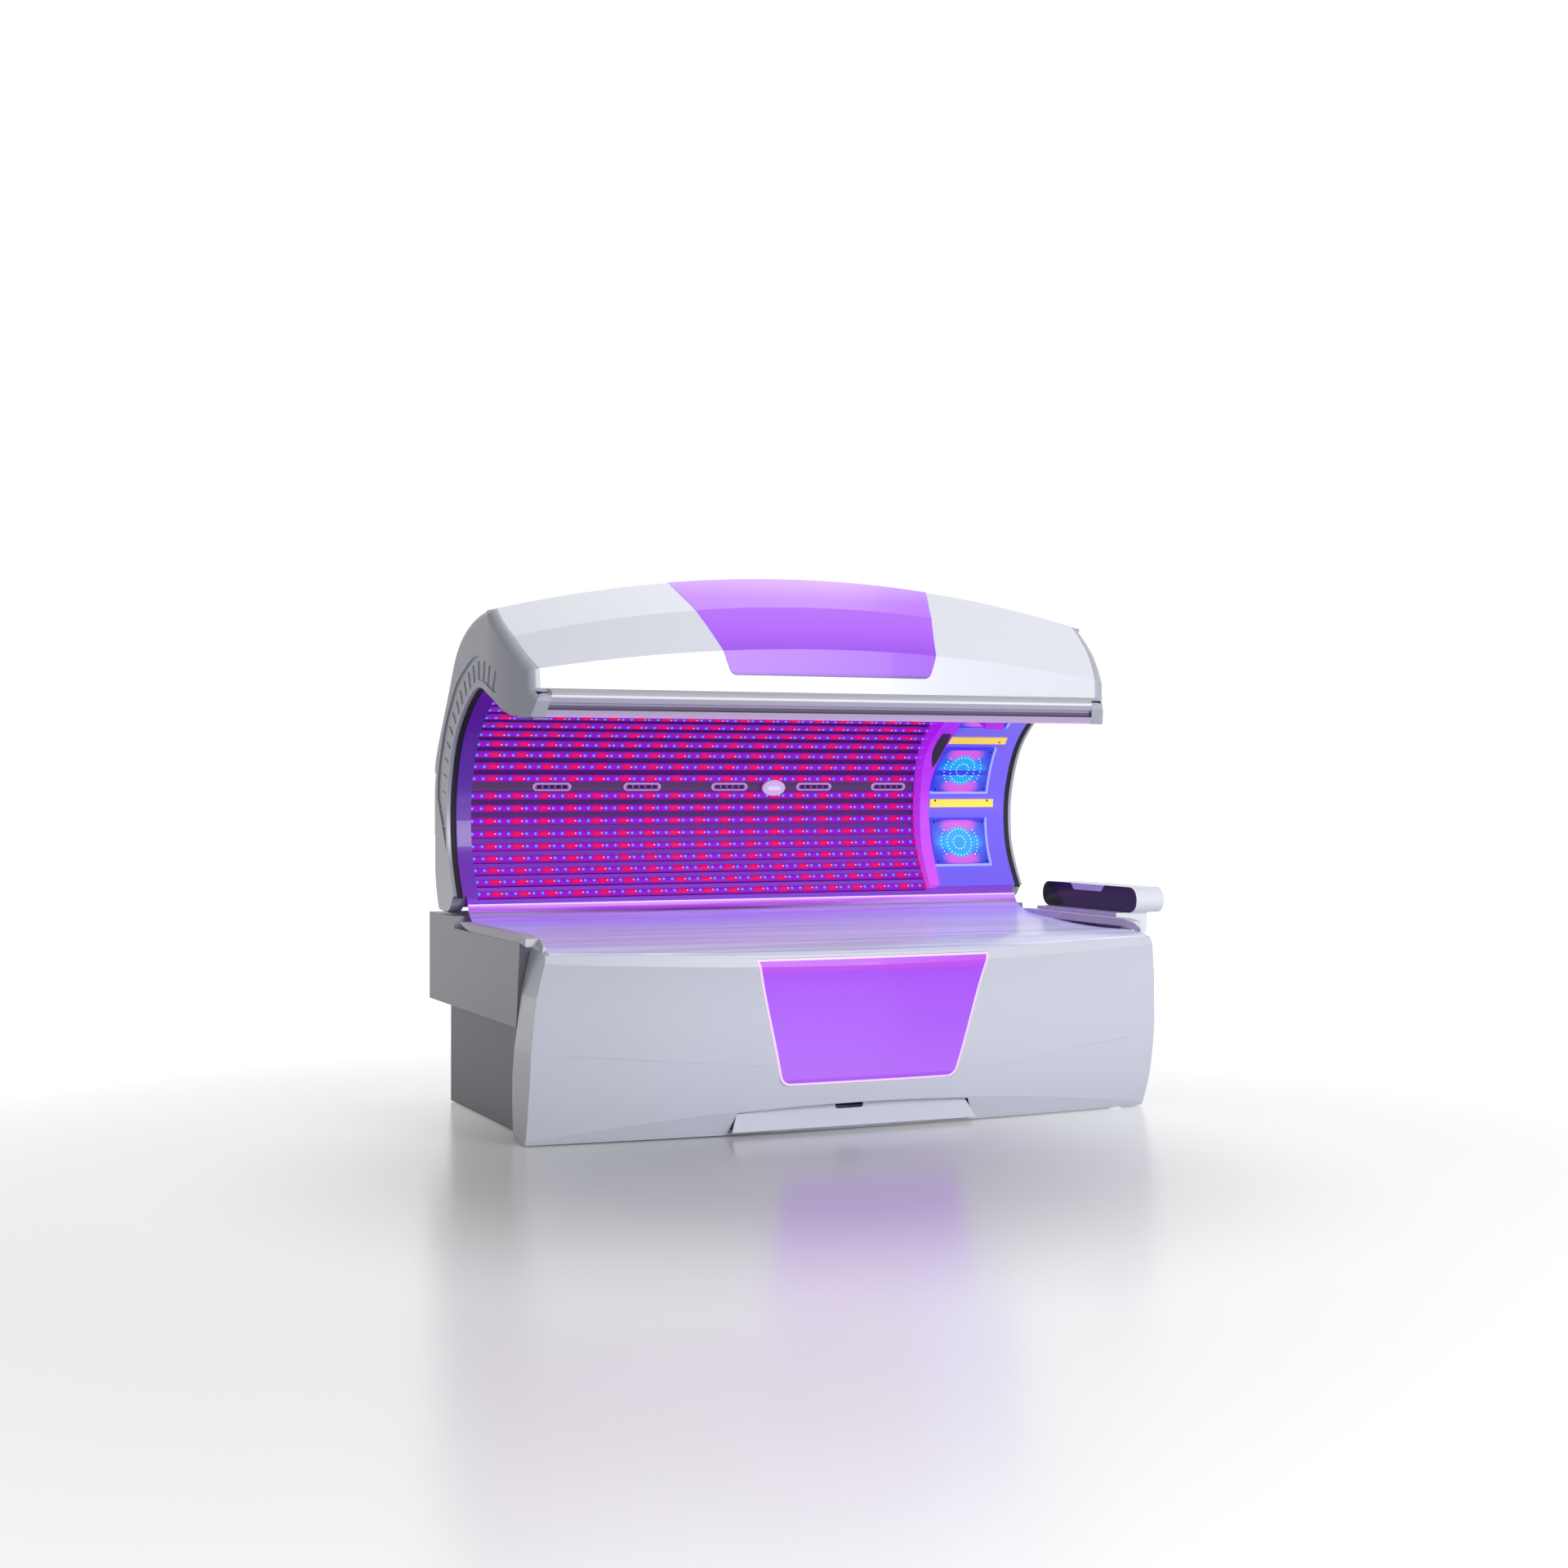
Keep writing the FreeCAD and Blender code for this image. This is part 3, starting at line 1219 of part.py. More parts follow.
def keypad_slot(grow):
    length = keypad_neck_length / 2.0 + seam + grow
    height = keypad_neck_height / 2.0 + seam + grow
    return on_wall(box(-length, length, -height, height, -40.0, 40.0), keypad_x, channel_distance(), 0.0)


def make_liner():
    """Purple reflector sheet of the canopy, cut for the nozzles and the keypad."""
    liner = band(opening_curve, liner_face, liner_face + liner_wall, -bed_half, bed_half)
    liner = liner.common(canopy_plan(cap_return + seat)).cut(behind_lip()).cut(over_side_boxes())
    cutters = [nozzle_slot(x, 0.0) for x in nozzle_x] + [keypad_slot(0.0)]
    return liner.cut(Part.makeCompound(cutters))


def over_side_boxes():
    """Room at the lining's lower corners that the side boxes' top sheets take as the canopy closes."""
    inner = bed_half - box_width - swing_gap
    corner = box(-bed_half, -inner, 700.0, 900.0, 600.0, lining_corner_z)
    return Part.makeCompound([corner, mirrored(corner)])


def below_lining():
    return box(-bed_half, bed_half, 700.0, 900.0, 600.0, lining_clear_z)


def make_gaskets():
    strip = band(opening_curve, liner_face - gasket_height, liner_face, -bed_half, bed_half)
    near, far = canopy_plan(cap_return + seat), canopy_plan(cap_return + gasket_width)
    return strip.common(near).cut(far).cut(below_lining()).cut(behind_lip()).Solids


def make_holders():
    """Lamp-holder rail at the left ends of the LED bars, following the lining."""
    strip = band(opening_curve, liner_face - holder_height, liner_face, -bed_half, 0.0)
    near = canopy_plan(cap_return + gasket_width + seat)
    far = canopy_plan(holder_inset - seat)
    strip = strip.common(near).cut(far).cut(behind_lip())
    return strip.cut(below_lining()).cut(over_side_boxes()).Solids


def make_channel():
    """Dark air channel between the two fields of bars."""
    left = bar_area_end
    middle = channel_distance()
    right = fin_edge(fin_left, on_lining(middle)[0].z) - fin_gap
    plate = patch(middle - channel_width / 2.0, middle + channel_width / 2.0, left, right,
                  seat, channel_height)
    cutters = [nozzle_slot(x, 0.0) for x in nozzle_x] + [keypad_slot(0.0)]
    return plate.cut(Part.makeCompound(cutters))


def capsule(length, height, low, high):
    """Flat capsule outline along X, extruded inwards."""
    half = length / 2.0 - height / 2.0
    radius = height / 2.0
    top = Part.LineSegment(V(half, radius, low), V(-half, radius, low)).toShape()
    left = Part.Arc(V(-half, radius, low), V(-half - radius, 0, low), V(-half, -radius, low)).toShape()
    bottom = Part.LineSegment(V(-half, -radius, low), V(half, -radius, low)).toShape()
    right = Part.Arc(V(half, -radius, low), V(half + radius, 0, low), V(half, radius, low)).toShape()
    return Part.Face(Part.Wire([top, left, bottom, right])).extrude(V(0, 0, high - low))


nozzle_lift = channel_height - 3.0


def make_bezels():
    """Capsule bezels of the air nozzles, each with two ears that hold the trunnions."""
    bezels = []
    for x in nozzle_x:
        base = channel_height + seat
        ring = capsule(bezel_length, bezel_height, base, base + bezel_wall)
        ring = ring.cut(capsule(nozzle_length + 2.0, nozzle_radius * 2.0 - 2.0, base - 1.0, base + 20.0))
        ring = ring.cut(rod_x(nozzle_radius + 0.6, -nozzle_length / 2.0 - 1.0, nozzle_length / 2.0 + 1.0,
                              0.0, nozzle_lift))
        ears = []
        for side in (-1.0, 1.0):
            inner = side * (nozzle_length / 2.0 + 0.5)
            outer = inner + side * 3.0
            ear = box(min(inner, outer), max(inner, outer), -6.0, 6.0, nozzle_lift - 6.0, base + 1.0)
            ears.append(ear)
        holes = rod_x(trunnion_radius + trunnion_play, -bezel_length, bezel_length, 0.0, nozzle_lift)
        whole = joined([ring] + ears).cut(holes)
        bezels.append(on_wall(whole, x, channel_distance(), seat))
    return bezels


def make_nozzle(x):
    """Air nozzle: a drum along X with vanes between its slots and a trunnion at each end."""
    half = nozzle_length / 2.0
    drum = rod_x(nozzle_radius, -half, half, 0.0, 0.0)
    clear = (nozzle_length - 8.0 - nozzle_vanes * nozzle_vane) / (nozzle_vanes + 1)
    slots = []
    for index in range(nozzle_vanes + 1):
        left = -half + 4.0 + index * (clear + nozzle_vane)
        slots.append(box(left, left + clear, -nozzle_radius * 0.62, nozzle_radius * 0.62,
                         -nozzle_radius - 1.0, nozzle_radius + 1.0))
    drum = drum.cut(Part.makeCompound(slots))
    pin = rod_x(trunnion_radius, -half - 3.6, half + 3.6, 0.0, 0.0)
    ends = pin.cut(box(-half + 2.0, half - 2.0, -9.0, 9.0, -9.0, 9.0))
    drum = joined([drum] + ends.Solids)
    drum.translate(V(0, 0, nozzle_lift))
    return on_wall(drum, x, channel_distance(), seat)


def oval(length, height, low, high):
    """Elliptic block for the keypad."""
    ring = Part.Ellipse(V(0, 0, low), length / 2.0, height / 2.0).toShape()
    return Part.Face(Part.Wire([ring])).extrude(V(0, 0, high - low))


def button_blank(grow, low, high):
    return capsule(button_length + 2.0 * grow, button_height + 2.0 * grow, low, high)


button_floor = keypad_lift + 4.0
button_foot = button_floor + button_travel + 0.2
button_top = keypad_lift + keypad_depth + button_travel + 0.8


def make_keypad():
    """Oval keypad housing on a neck through the lining, with a pocket for its bar button."""
    top = keypad_lift + keypad_depth
    body = oval(keypad_length, keypad_height, keypad_lift, top)
    rims = [edge for edge in body.Edges if abs(edge.BoundBox.ZMin - top) < 1e-6
            and edge.BoundBox.ZLength < 1e-6]
    body = body.makeFillet(5.0, rims)
    half, high = keypad_neck_length / 2.0, keypad_neck_height / 2.0
    neck = box(-half, half, -high, high, -4.0, keypad_lift + 1.0)
    collar = box(-half - 4.0, half + 4.0, -high + 4.0, high - 4.0, channel_height + seat + 0.3,
                 channel_height + 4.0)
    pocket = button_blank(0.3, button_floor, top + 20.0)
    return on_wall(joined([body, neck, collar]).cut(pocket), keypad_x, channel_distance(), 0.0)


def make_button():
    return on_wall(button_blank(0.0, button_foot, button_top), keypad_x, channel_distance(), 0.0)


# ---------------------------------------------------------------------------- head end of the canopy
def fin_block(grow):
    """Outline of the fin between its two curved edges, as a block along Y."""
    left = [V(x - grow, -clear, z) for x, z in fin_left]
    right = [V(x + grow, -clear, z) for x, z in fin_right]
    edges = [spline(left).toShape(), Part.LineSegment(left[-1], right[-1]).toShape(),
             spline(right[::-1]).toShape(), Part.LineSegment(right[0], left[0]).toShape()]
    return Part.Face(Part.Wire(edges)).extrude(V(0, 2.0 * clear, 0))


def make_fin():
    """Speaker fin: a curved box along the lining, deepest at shoulder height."""
    path = opening_curve
    count = len(path) - 3
    taper = [fin_foot_depth + (fin_depth - fin_foot_depth) * min(1.0, index / 4.0) for index in range(count)]
    near, far = [], []
    base = shifted_path(path, liner_face + liner_wall)
    for index in range(1, count):
        inner = shifted_path(path, liner_face - taper[index])[index]
        near.append(V(0, base[index][0], base[index][1]))
        far.append(V(0, inner[0], inner[1]))
    edges = [spline(near).toShape(), Part.LineSegment(near[-1], far[-1]).toShape(),
             spline(far[::-1]).toShape(), Part.LineSegment(far[0], near[0]).toShape()]
    fin = Part.Face(Part.Wire(edges)).extrude(V(bed_half, 0, 0)).common(fin_block(0.0))
    fin = fin.cut(band(path, liner_face - seat - 0.2, liner_face + 30.0, -bed_half, bed_half))
    return fin.cut(speaker_patch(seat, fin_depth - speaker_wall - 1.0, fin_depth + 40.0))


def speaker_patch(grow, low, high):
    """Block of the spindle-shaped speaker grille on the fin, curved with the lining."""
    middle = lining_at_height(speaker_z)
    half_length, half_width = speaker_length / 2.0 + grow, speaker_width / 2.0 + grow
    block = patch(middle - half_length, middle + half_length, speaker_x - half_width,
                  speaker_x + half_width, low, high)
    point_low, point_high = (on_lining(middle + step)[0].z for step in (-half_length, half_length))
    low_end, high_end = V(speaker_x, -clear, point_low), V(speaker_x, -clear, point_high)
    sides = [V(speaker_x + step, -clear, speaker_z) for step in (-half_width, half_width)]
    outline = Part.Wire([Part.Arc(low_end, sides[0], high_end).toShape(),
                         Part.Arc(high_end, sides[1], low_end).toShape()])
    return block.common(Part.Face(outline).extrude(V(0, 2.0 * clear, 0)))


def make_speaker():
    """Speaker grille plate, let into the fin's face."""
    low = fin_depth - speaker_wall - 1.0 + seat
    return speaker_patch(0.0, low, low + speaker_wall)


def make_facial_panel():
    left = fin_right[0][0] + seat
    start = lining_at_height(opening_curve[1][1])
    strip = patch(start, lining_length * 0.86, left, bed_half, 2.0 * seat, facial_wall)
    return strip.common(canopy_plan(cap_return + gasket_width + seat)).cut(fin_block(seat))


def make_modules():
    """Facial lamp modules: shallow curved trays with a raised frame and a round lens."""
    low = facial_wall + seat
    modules = []
    x0, x1 = module_x - module_width / 2.0, module_x + module_width / 2.0
    for z in module_z:
        middle = lining_at_height(z)
        first, last = middle - module_length / 2.0, middle + module_length / 2.0
        tray = patch(first, last, x0, x1, low, low + module_height)
        well = patch(first + module_rim, last - module_rim, x0 + module_rim, x1 - module_rim,
                     low + module_floor, low + module_height + 5.0)
        modules.append(tray.cut(well))
    return modules


def make_clamps():
    low = facial_wall + seat
    half = clamp_length / 2.0
    bars = []
    for z in clamp_z:
        middle = lining_at_height(z)
        bars.append(patch(middle - clamp_width / 2.0, middle + clamp_width / 2.0,
                          clamp_x - half, clamp_x + half, low, low + clamp_height))
    return bars


# ---------------------------------------------------------------------------- canopy frame
def make_canopy_frame():
    """C-shaped ribs joined by stringers along the bed, with risers for the light board."""
    points, smooth = end_outline()
    inner = Part.Face(loop_wire(0.0, shifted_loop(points, rib_inset), smooth))
    inside = canopy_plan(end_cap_width + seat)
    parts = []
    for x in rib_x:
        plate = inner.extrude(V(rib_wall, 0, 0))
        plate.translate(V(x - rib_wall / 2.0, 0, 0))
        parts.append(plate.common(inside).cut(behind_lip()))
    bores = []
    for y, z in ((stringer_low_y, stringer_low_z), (stringer_rear_y, stringer_z),
                 (stringer_front_y, stringer_z)):
        for half, kept, reach in ((stringer / 2.0, parts, 0.0), (stringer / 2.0 - stringer_wall, bores, 9.0)):
            kept.append(box(-rib_end_x - reach, rib_end_x + reach, y - half, y + half, z - half, z + half))
    (near_y, near_z), (far_y, far_z) = canopy_board
    drop = light_board_wall
    for x in (-rib_mid_x, rib_mid_x):
        parts.append(prism_x([(far_y + drop + 1.0, far_z - drop - 1.0), (near_y + drop + 1.0, near_z - drop - 1.0),
                              (near_y + 70.0, near_z - 100.0), (far_y + 60.0, far_z - 90.0),
                              (far_y + 10.0, far_z - 60.0)], x - rib_wall / 2.0, x + rib_wall / 2.0))
    bores.append(rod_x(shaft_radius + running_gap, -bed_half, bed_half, hinge_y, hinge_z))
    return joined(parts).cut(Part.makeCompound(bores))


def lever_pin():
    angle = math.radians(lever_angle)
    return hinge_y + lever_reach * math.cos(angle), hinge_z + lever_reach * math.sin(angle)


def make_shaft():
    """Full-length hinge tube with the two welded gas-spring levers and their pins."""
    reach = rib_end_x + rib_wall / 2.0
    pin_y, pin_z = lever_pin()
    parts = [rod_x(shaft_radius, -reach, reach, hinge_y, hinge_z)]
    for side in (-1.0, 1.0):
        x0 = side * lever_x - lever_wall / 2.0
        hub = rod_x(lever_hub, x0, x0 + lever_wall, hinge_y, hinge_z)
        eye = rod_x(lever_eye, x0, x0 + lever_wall, pin_y, pin_z)
        across = math.radians(lever_angle + 90.0)
        off_y, off_z = lever_eye * math.cos(across), lever_eye * math.sin(across)
        arm = prism_x([(hinge_y + off_y, hinge_z + off_z), (hinge_y - off_y, hinge_z - off_z),
                       (pin_y - off_y, pin_z - off_z), (pin_y + off_y, pin_z + off_z)], x0, x0 + lever_wall)
        ends = sorted((side * (lever_x + lever_wall / 2.0), side * (spring_x - spring_eye_width / 2.0 - 3.0)))
        parts += [hub, eye, arm, rod_x(spring_pin_radius, ends[0], ends[1], pin_y, pin_z)]
    bore = rod_x(shaft_radius - shaft_wall, -reach - 1.0, reach + 1.0, hinge_y, hinge_z)
    return joined(parts).cut(bore)


# ---------------------------------------------------------------------------- gas springs
def spring_line():
    """Foot pin, lever pin and unit direction of a gas spring in (Y, Z)."""
    pin_y, pin_z = lever_pin()
    run_y, run_z = pin_y - spring_foot_y, pin_z - spring_foot_z
    length = math.hypot(run_y, run_z)
    return length, run_y / length, run_z / length


def along_spring(shape, side):
    """Put a piece drawn along +Z from the foot pin onto one gas spring."""
    _, dir_y, dir_z = spring_line()
    shape.rotate(V(0, 0, 0), V(1, 0, 0), -math.degrees(math.atan2(dir_y, dir_z)))
    shape.translate(V(side * spring_x, spring_foot_y, spring_foot_z))
    return shape


def make_spring_tube(side):
    width = spring_eye_width / 2.0
    eye = rod_x(spring_pin_radius + spring_eye_wall + spring_pin_play, -width, width, 0.0, 0.0)
    tube_body = Part.makeCylinder(spring_tube_radius, spring_tube_length, V(0, 0, 14.0))
    neck = Part.makeCylinder(width, 16.0, V(0, 0, 4.0))
    bore = rod_x(spring_pin_radius + spring_pin_play, -20.0, 20.0, 0.0, 0.0)
    guide = Part.makeCylinder(spring_rod_radius + running_gap, spring_tube_length,
                              V(0, 0, 14.0 + spring_tube_length - spring_rod_in - 60.0))
    return along_spring(joined([eye, neck, tube_body]).cut(bore).cut(guide), side)


def make_spring_rod(side):
    length = spring_line()[0]
    width = spring_eye_width / 2.0
    bore_radius = spring_pin_radius + spring_eye_play
    start = 14.0 + spring_tube_length - spring_rod_in
    shaft = Part.makeCylinder(spring_rod_radius, length - start - bore_radius, V(0, 0, start))
    eye = rod_x(bore_radius + spring_eye_wall, -width, width, 0.0, 0.0)
    eye.translate(V(0, 0, length))
    bore = rod_x(bore_radius, -20.0, 20.0, 0.0, 0.0)
    bore.translate(V(0, 0, length))
    return along_spring(joined([shaft, eye]).cut(bore), side)


def make_spring_anchors():
    """Clevis and foot pin of each gas spring, on a plate across the frame's side bar."""
    half = spring_eye_width / 2.0 + 1.0
    low = frame_bottom_z + tube
    near_y, far_y = spring_foot_y - 14.0, spring_foot_y + 14.0
    solids = [rod_x(spring_pin_radius, spring_x - half - 3.0, spring_x + half + 3.0,
                    spring_foot_y, spring_foot_z)]
    for x0 in (spring_x - half - 5.0, spring_x + half):
        solids.append(box(x0, x0 + 5.0, near_y, far_y, low, spring_foot_z + spring_pin_radius + 4.0))
    solids.append(box(spring_x - half - 5.0, frame_half_x - 4.0, near_y, far_y, low - 4.0, low + 8.0))
    anchor = joined(solids)
    return [anchor, mirrored(anchor)]


# ---------------------------------------------------------------------------- fans
def make_rotor(radius, hub, depth, centre, blades):
    """Axial fan rotor: a hub, raked blades and a blind bore for its spindle."""
    body = Part.makeCylinder(hub, depth * 0.7, V(0, 0, -depth * 0.35))
    solids = [body]
    for index in range(blades):
        blade = box(hub - 3.0, radius, -depth * 0.42, depth * 0.42, -blade_wall / 2.0, blade_wall / 2.0)
        blade.rotate(V(0, 0, 0), V(1, 0, 0), blade_pitch)
        blade.rotate(V(0, 0, 0), V(0, 0, 1), 360.0 * index / blades)
        solids.append(blade)
    limit = Part.makeCylinder(radius, depth * 0.7, V(0, 0, -depth * 0.35))
    rotor = joined(solids).common(limit)
    bore = Part.makeCylinder(spindle_radius + running_gap, depth * 0.5, V(0, 0, -depth * 0.35 - 1.0))
    rotor = rotor.cut(bore)
    rotor.translate(centre)
    return rotor


def make_fan_housing(radius, hub, depth, centre, reach):
    """Round fan housing with a mounting flange, spokes and the motor spindle."""
    outer = Part.makeCylinder(radius + fan_wall, depth, V(0, 0, -depth / 2.0))
    wide = radius + fan_flange
    flange = box(-wide, wide, -reach, reach, -depth / 2.0, -depth / 2.0 + fan_wall)
    bore = Part.makeCylinder(radius, depth + 2.0, V(0, 0, -depth / 2.0 - 1.0))
    ring = joined([outer, flange]).cut(bore)
    low = -depth / 2.0
    motor_top = -depth * 0.35 - seat
    spokes = [box(-radius - 1.0, radius + 1.0, -4.0, 4.0, low, low + 3.0),
              box(-4.0, 4.0, -radius - 1.0, radius + 1.0, low, low + 3.0)]
    motor = Part.makeCylinder(hub * 0.8, motor_top - low, V(0, 0, low))
    spindle = Part.makeCylinder(spindle_radius, depth * 0.4, V(0, 0, motor_top - 1.0))
    housing = joined([ring, motor, spindle] + spokes)
    housing.translate(centre)
    return housing


# ---------------------------------------------------------------------------- console
def stadium(inset, x0, x1):
    """Stadium outline of the console pod in (Y, Z), extruded along X."""
    radius = pod_height / 2.0 - inset
    centre_z = pod_bottom_z + pod_height / 2.0
    near = pod_near_y + pod_height / 2.0
    far = pod_near_y + pod_length - pod_height / 2.0
    low, high = centre_z - radius, centre_z + radius
    edges = [Part.LineSegment(V(x0, near, low), V(x0, far, low)).toShape(),
             Part.Arc(V(x0, far, low), V(x0, far + radius, centre_z), V(x0, far, high)).toShape(),
             Part.LineSegment(V(x0, far, high), V(x0, near, high)).toShape(),
             Part.Arc(V(x0, near, high), V(x0, near - radius, centre_z), V(x0, near, low)).toShape()]
    return Part.Face(Part.Wire(edges)).extrude(V(x1 - x0, 0, 0))


def pod_back():
    return pod_face_x + pod_depth


def lid_space(grow):
    """Block in which the console lid and its front tongue lie."""
    top = pod_bottom_z + pod_height
    near, far = lid_near_y - grow, lid_near_y + lid_length + grow
    return box(pod_face_x - 1.0, pod_back() - lid_rear_wall + 3.0, near, far, top - lid_wall - grow, top + 1.0)


def make_pod():
    """Console pod: hollow stadium body with a storage well under its lid, on a bracket column."""
    body = stadium(0.0, pod_face_x + screen_wall, pod_back())
    hollow = stadium(pod_wall, pod_face_x - 1.0, pod_back() - pod_wall)
    shell = body.cut(hollow)
    top = pod_bottom_z + pod_height
    well_x0, well_x1 = pod_face_x + screen_wall + 6.0, pod_back() - 16.0
    near, far = lid_near_y + 6.0, lid_near_y + lid_length - 6.0
    well = box(well_x0 - 2.0, well_x1 + 2.0, near - 2.0, far + 2.0, top - 58.0, top - lid_wall - 0.5)
    well = well.common(stadium(0.0, pod_face_x, pod_back()))
    shell = joined([shell, well])
    shell = shell.cut(box(well_x0, well_x1, near, far, top - 56.0, top + 5.0))
    shell = shell.cut(lid_space(0.5))
    pins = []
    axis_x, axis_z = lid_axis()
    for y0 in (lid_near_y - 4.0, lid_near_y + lid_length - 8.0):
        pins.append(Part.makeCylinder(lid_pin_radius, 12.0, V(axis_x, y0, axis_z), V(0, 1, 0)))
    channel = Part.makeCylinder(lid_knuckle + 0.5, lid_length + 1.0, V(axis_x, lid_near_y - 0.5, axis_z),
                                V(0, 1, 0))
    shell = joined([shell.cut(channel)] + pins)
    column = prism_y([(bed_half + seat, column_foot_z), (bed_half + 24.0, column_foot_z),
                      (column_outer_x, pod_bottom_z - 40.0), (column_outer_x, pod_bottom_z),
                      (bed_half + seat, pod_bottom_z)], column_near_y, column_far_y)
    upright = [edge for edge in column.Edges if abs(edge.Vertexes[0].X - column_outer_x) < 1e-6
               and abs(edge.Vertexes[-1].X - column_outer_x) < 1e-6
               and abs(edge.Vertexes[0].Y - edge.Vertexes[-1].Y) < 1e-6]
    column = column.makeFillet(column_edge, upright)
    return joined([shell, column])


def lid_axis():
    """Hinge axis of the console lid in (X, Z), along Y."""
    return pod_back() - lid_rear_wall - lid_knuckle, pod_bottom_z + pod_height - lid_knuckle - 0.2


def make_screen():
    """Dark glossy face of the pod, notched for the lid's tongue."""
    face = stadium(0.0, pod_face_x, pod_face_x + screen_wall - seat)
    face = face.cut(tongue_block(1.0, pod_face_x - 5.0, pod_face_x + 20.0))
    return face.cut(lid_space(seat))


def tongue_block(grow, x0, x1):
    """Trapezoid of the lid's front tongue in (Y, Z)."""
    top = pod_bottom_z + pod_height + 1.0
    near, far = lid_near_y - grow, lid_near_y + lid_length + grow
    low = pod_bottom_z + pod_height - lid_tongue - grow
    return prism_x([(near, top), (near + 22.0, low), (far - 22.0, low), (far, top)], x0, x1)


def make_lid():
    """Console lid: top plate, trapezoid front tongue and a knuckle round each hinge pin."""
    top = pod_bottom_z + pod_height
    axis_x, axis_z = lid_axis()
    near, far = lid_near_y, lid_near_y + lid_length
    plate = box(pod_face_x, axis_x, near, far, top - lid_wall, top)
    tongue = tongue_block(0.0, pod_face_x, pod_face_x + screen_wall - seat)
    tongue = tongue.common(box(0.0, 2000.0, 0.0, 2000.0, 0.0, top))
    knuckle = Part.makeCylinder(lid_knuckle, lid_length, V(axis_x, near, axis_z), V(0, 1, 0))
    bore = Part.makeCylinder(lid_pin_radius + running_gap, lid_length + 2.0, V(axis_x, near - 1.0, axis_z),
                             V(0, 1, 0))
    return joined([plate, tongue, knuckle]).cut(bore)


# ---------------------------------------------------------------------------- inner boxes
def make_drivers():
    """LED driver boxes in a row along the front of the fan deck."""
    low = fan_z - fan_depth / 2.0
    pitch = (2.0 * driver_span - driver_length) / (driver_count - 1)
    boxes = []
    for index in range(driver_count):
        x0 = -driver_span + index * pitch
        boxes.append(open_case(x0, driver_near_y, low, (driver_length, driver_width, driver_height)))
    return boxes


def open_case(x0, y0, low, size):
    """Sheet case without a floor, standing on the deck."""
    length, width, height = size
    wall = case_wall
    outer = box(x0, x0 + length, y0, y0 + width, low, low + height)
    return outer.cut(box(x0 + wall, x0 + length - wall, y0 + wall, y0 + width - wall, low - 1.0,
                         low + height - wall))


def make_control_box():
    """Mains and control box on the left of the deck, with cooling fins on its lid."""
    x0, y0 = control_near
    length, width, height = control_size
    low = fan_z - fan_depth / 2.0
    parts = [open_case(x0, y0, low, control_size)]
    pitch = (width - 2.0 * control_edge) / control_fins
    for index in range(control_fins):
        y = y0 + control_edge + index * pitch
        parts.append(box(x0 + control_edge, x0 + length - control_edge, y, y + 4.0,
                         low + height, low + height + 12.0))
    return joined(parts)


# ---------------------------------------------------------------------------- build
def write_base():
    write("base_frame", make_base_frame())
    write("levelling_feet", *make_feet())
    write("plinth_panels", *make_plinth())
    left_box = make_side_box()
    write("side_box_left", left_box)
    write("side_box_right", mirrored(left_box))
    write("rear_panel", make_rear_panel())
    write("hinge_well", make_well())
    write("cable_gland", make_gland())
    write("front_cover", make_front_cover())
    write("front_light_panel", make_front_panel())
    write("front_light_board", make_front_light_board())
    write("filter_tray", make_filter_tray())
    write("filter_pad", make_filter_pad())
    write("bench_acrylic", make_acrylic())
    right_rim = make_rims()
    write("side_rims", right_rim, mirrored(right_rim))
    write("bench_reflector", make_bench_reflector())
    write("bench_bars", *make_bench_bars())
    write("bench_holders", *make_bench_holders())
    write("hinge_bushes", *make_bushes())
    write("base_electrics", make_control_box(), *make_drivers())
    housings = []
    for x, name in zip(fan_x, ("left", "right")):
        centre = V(x, fan_y, fan_z)
        housings.append(make_fan_housing(fan_radius, fan_hub, fan_depth, centre, fan_radius + fan_flange))
        write("fan_rotor_" + name,
              make_rotor(fan_radius - fan_tip_gap, fan_hub, fan_depth, centre, fan_blades))
    write("fan_housings", *housings)
    write("console_pod", make_pod())
    write("console_screen", make_screen())
    write("console_lid", make_lid())


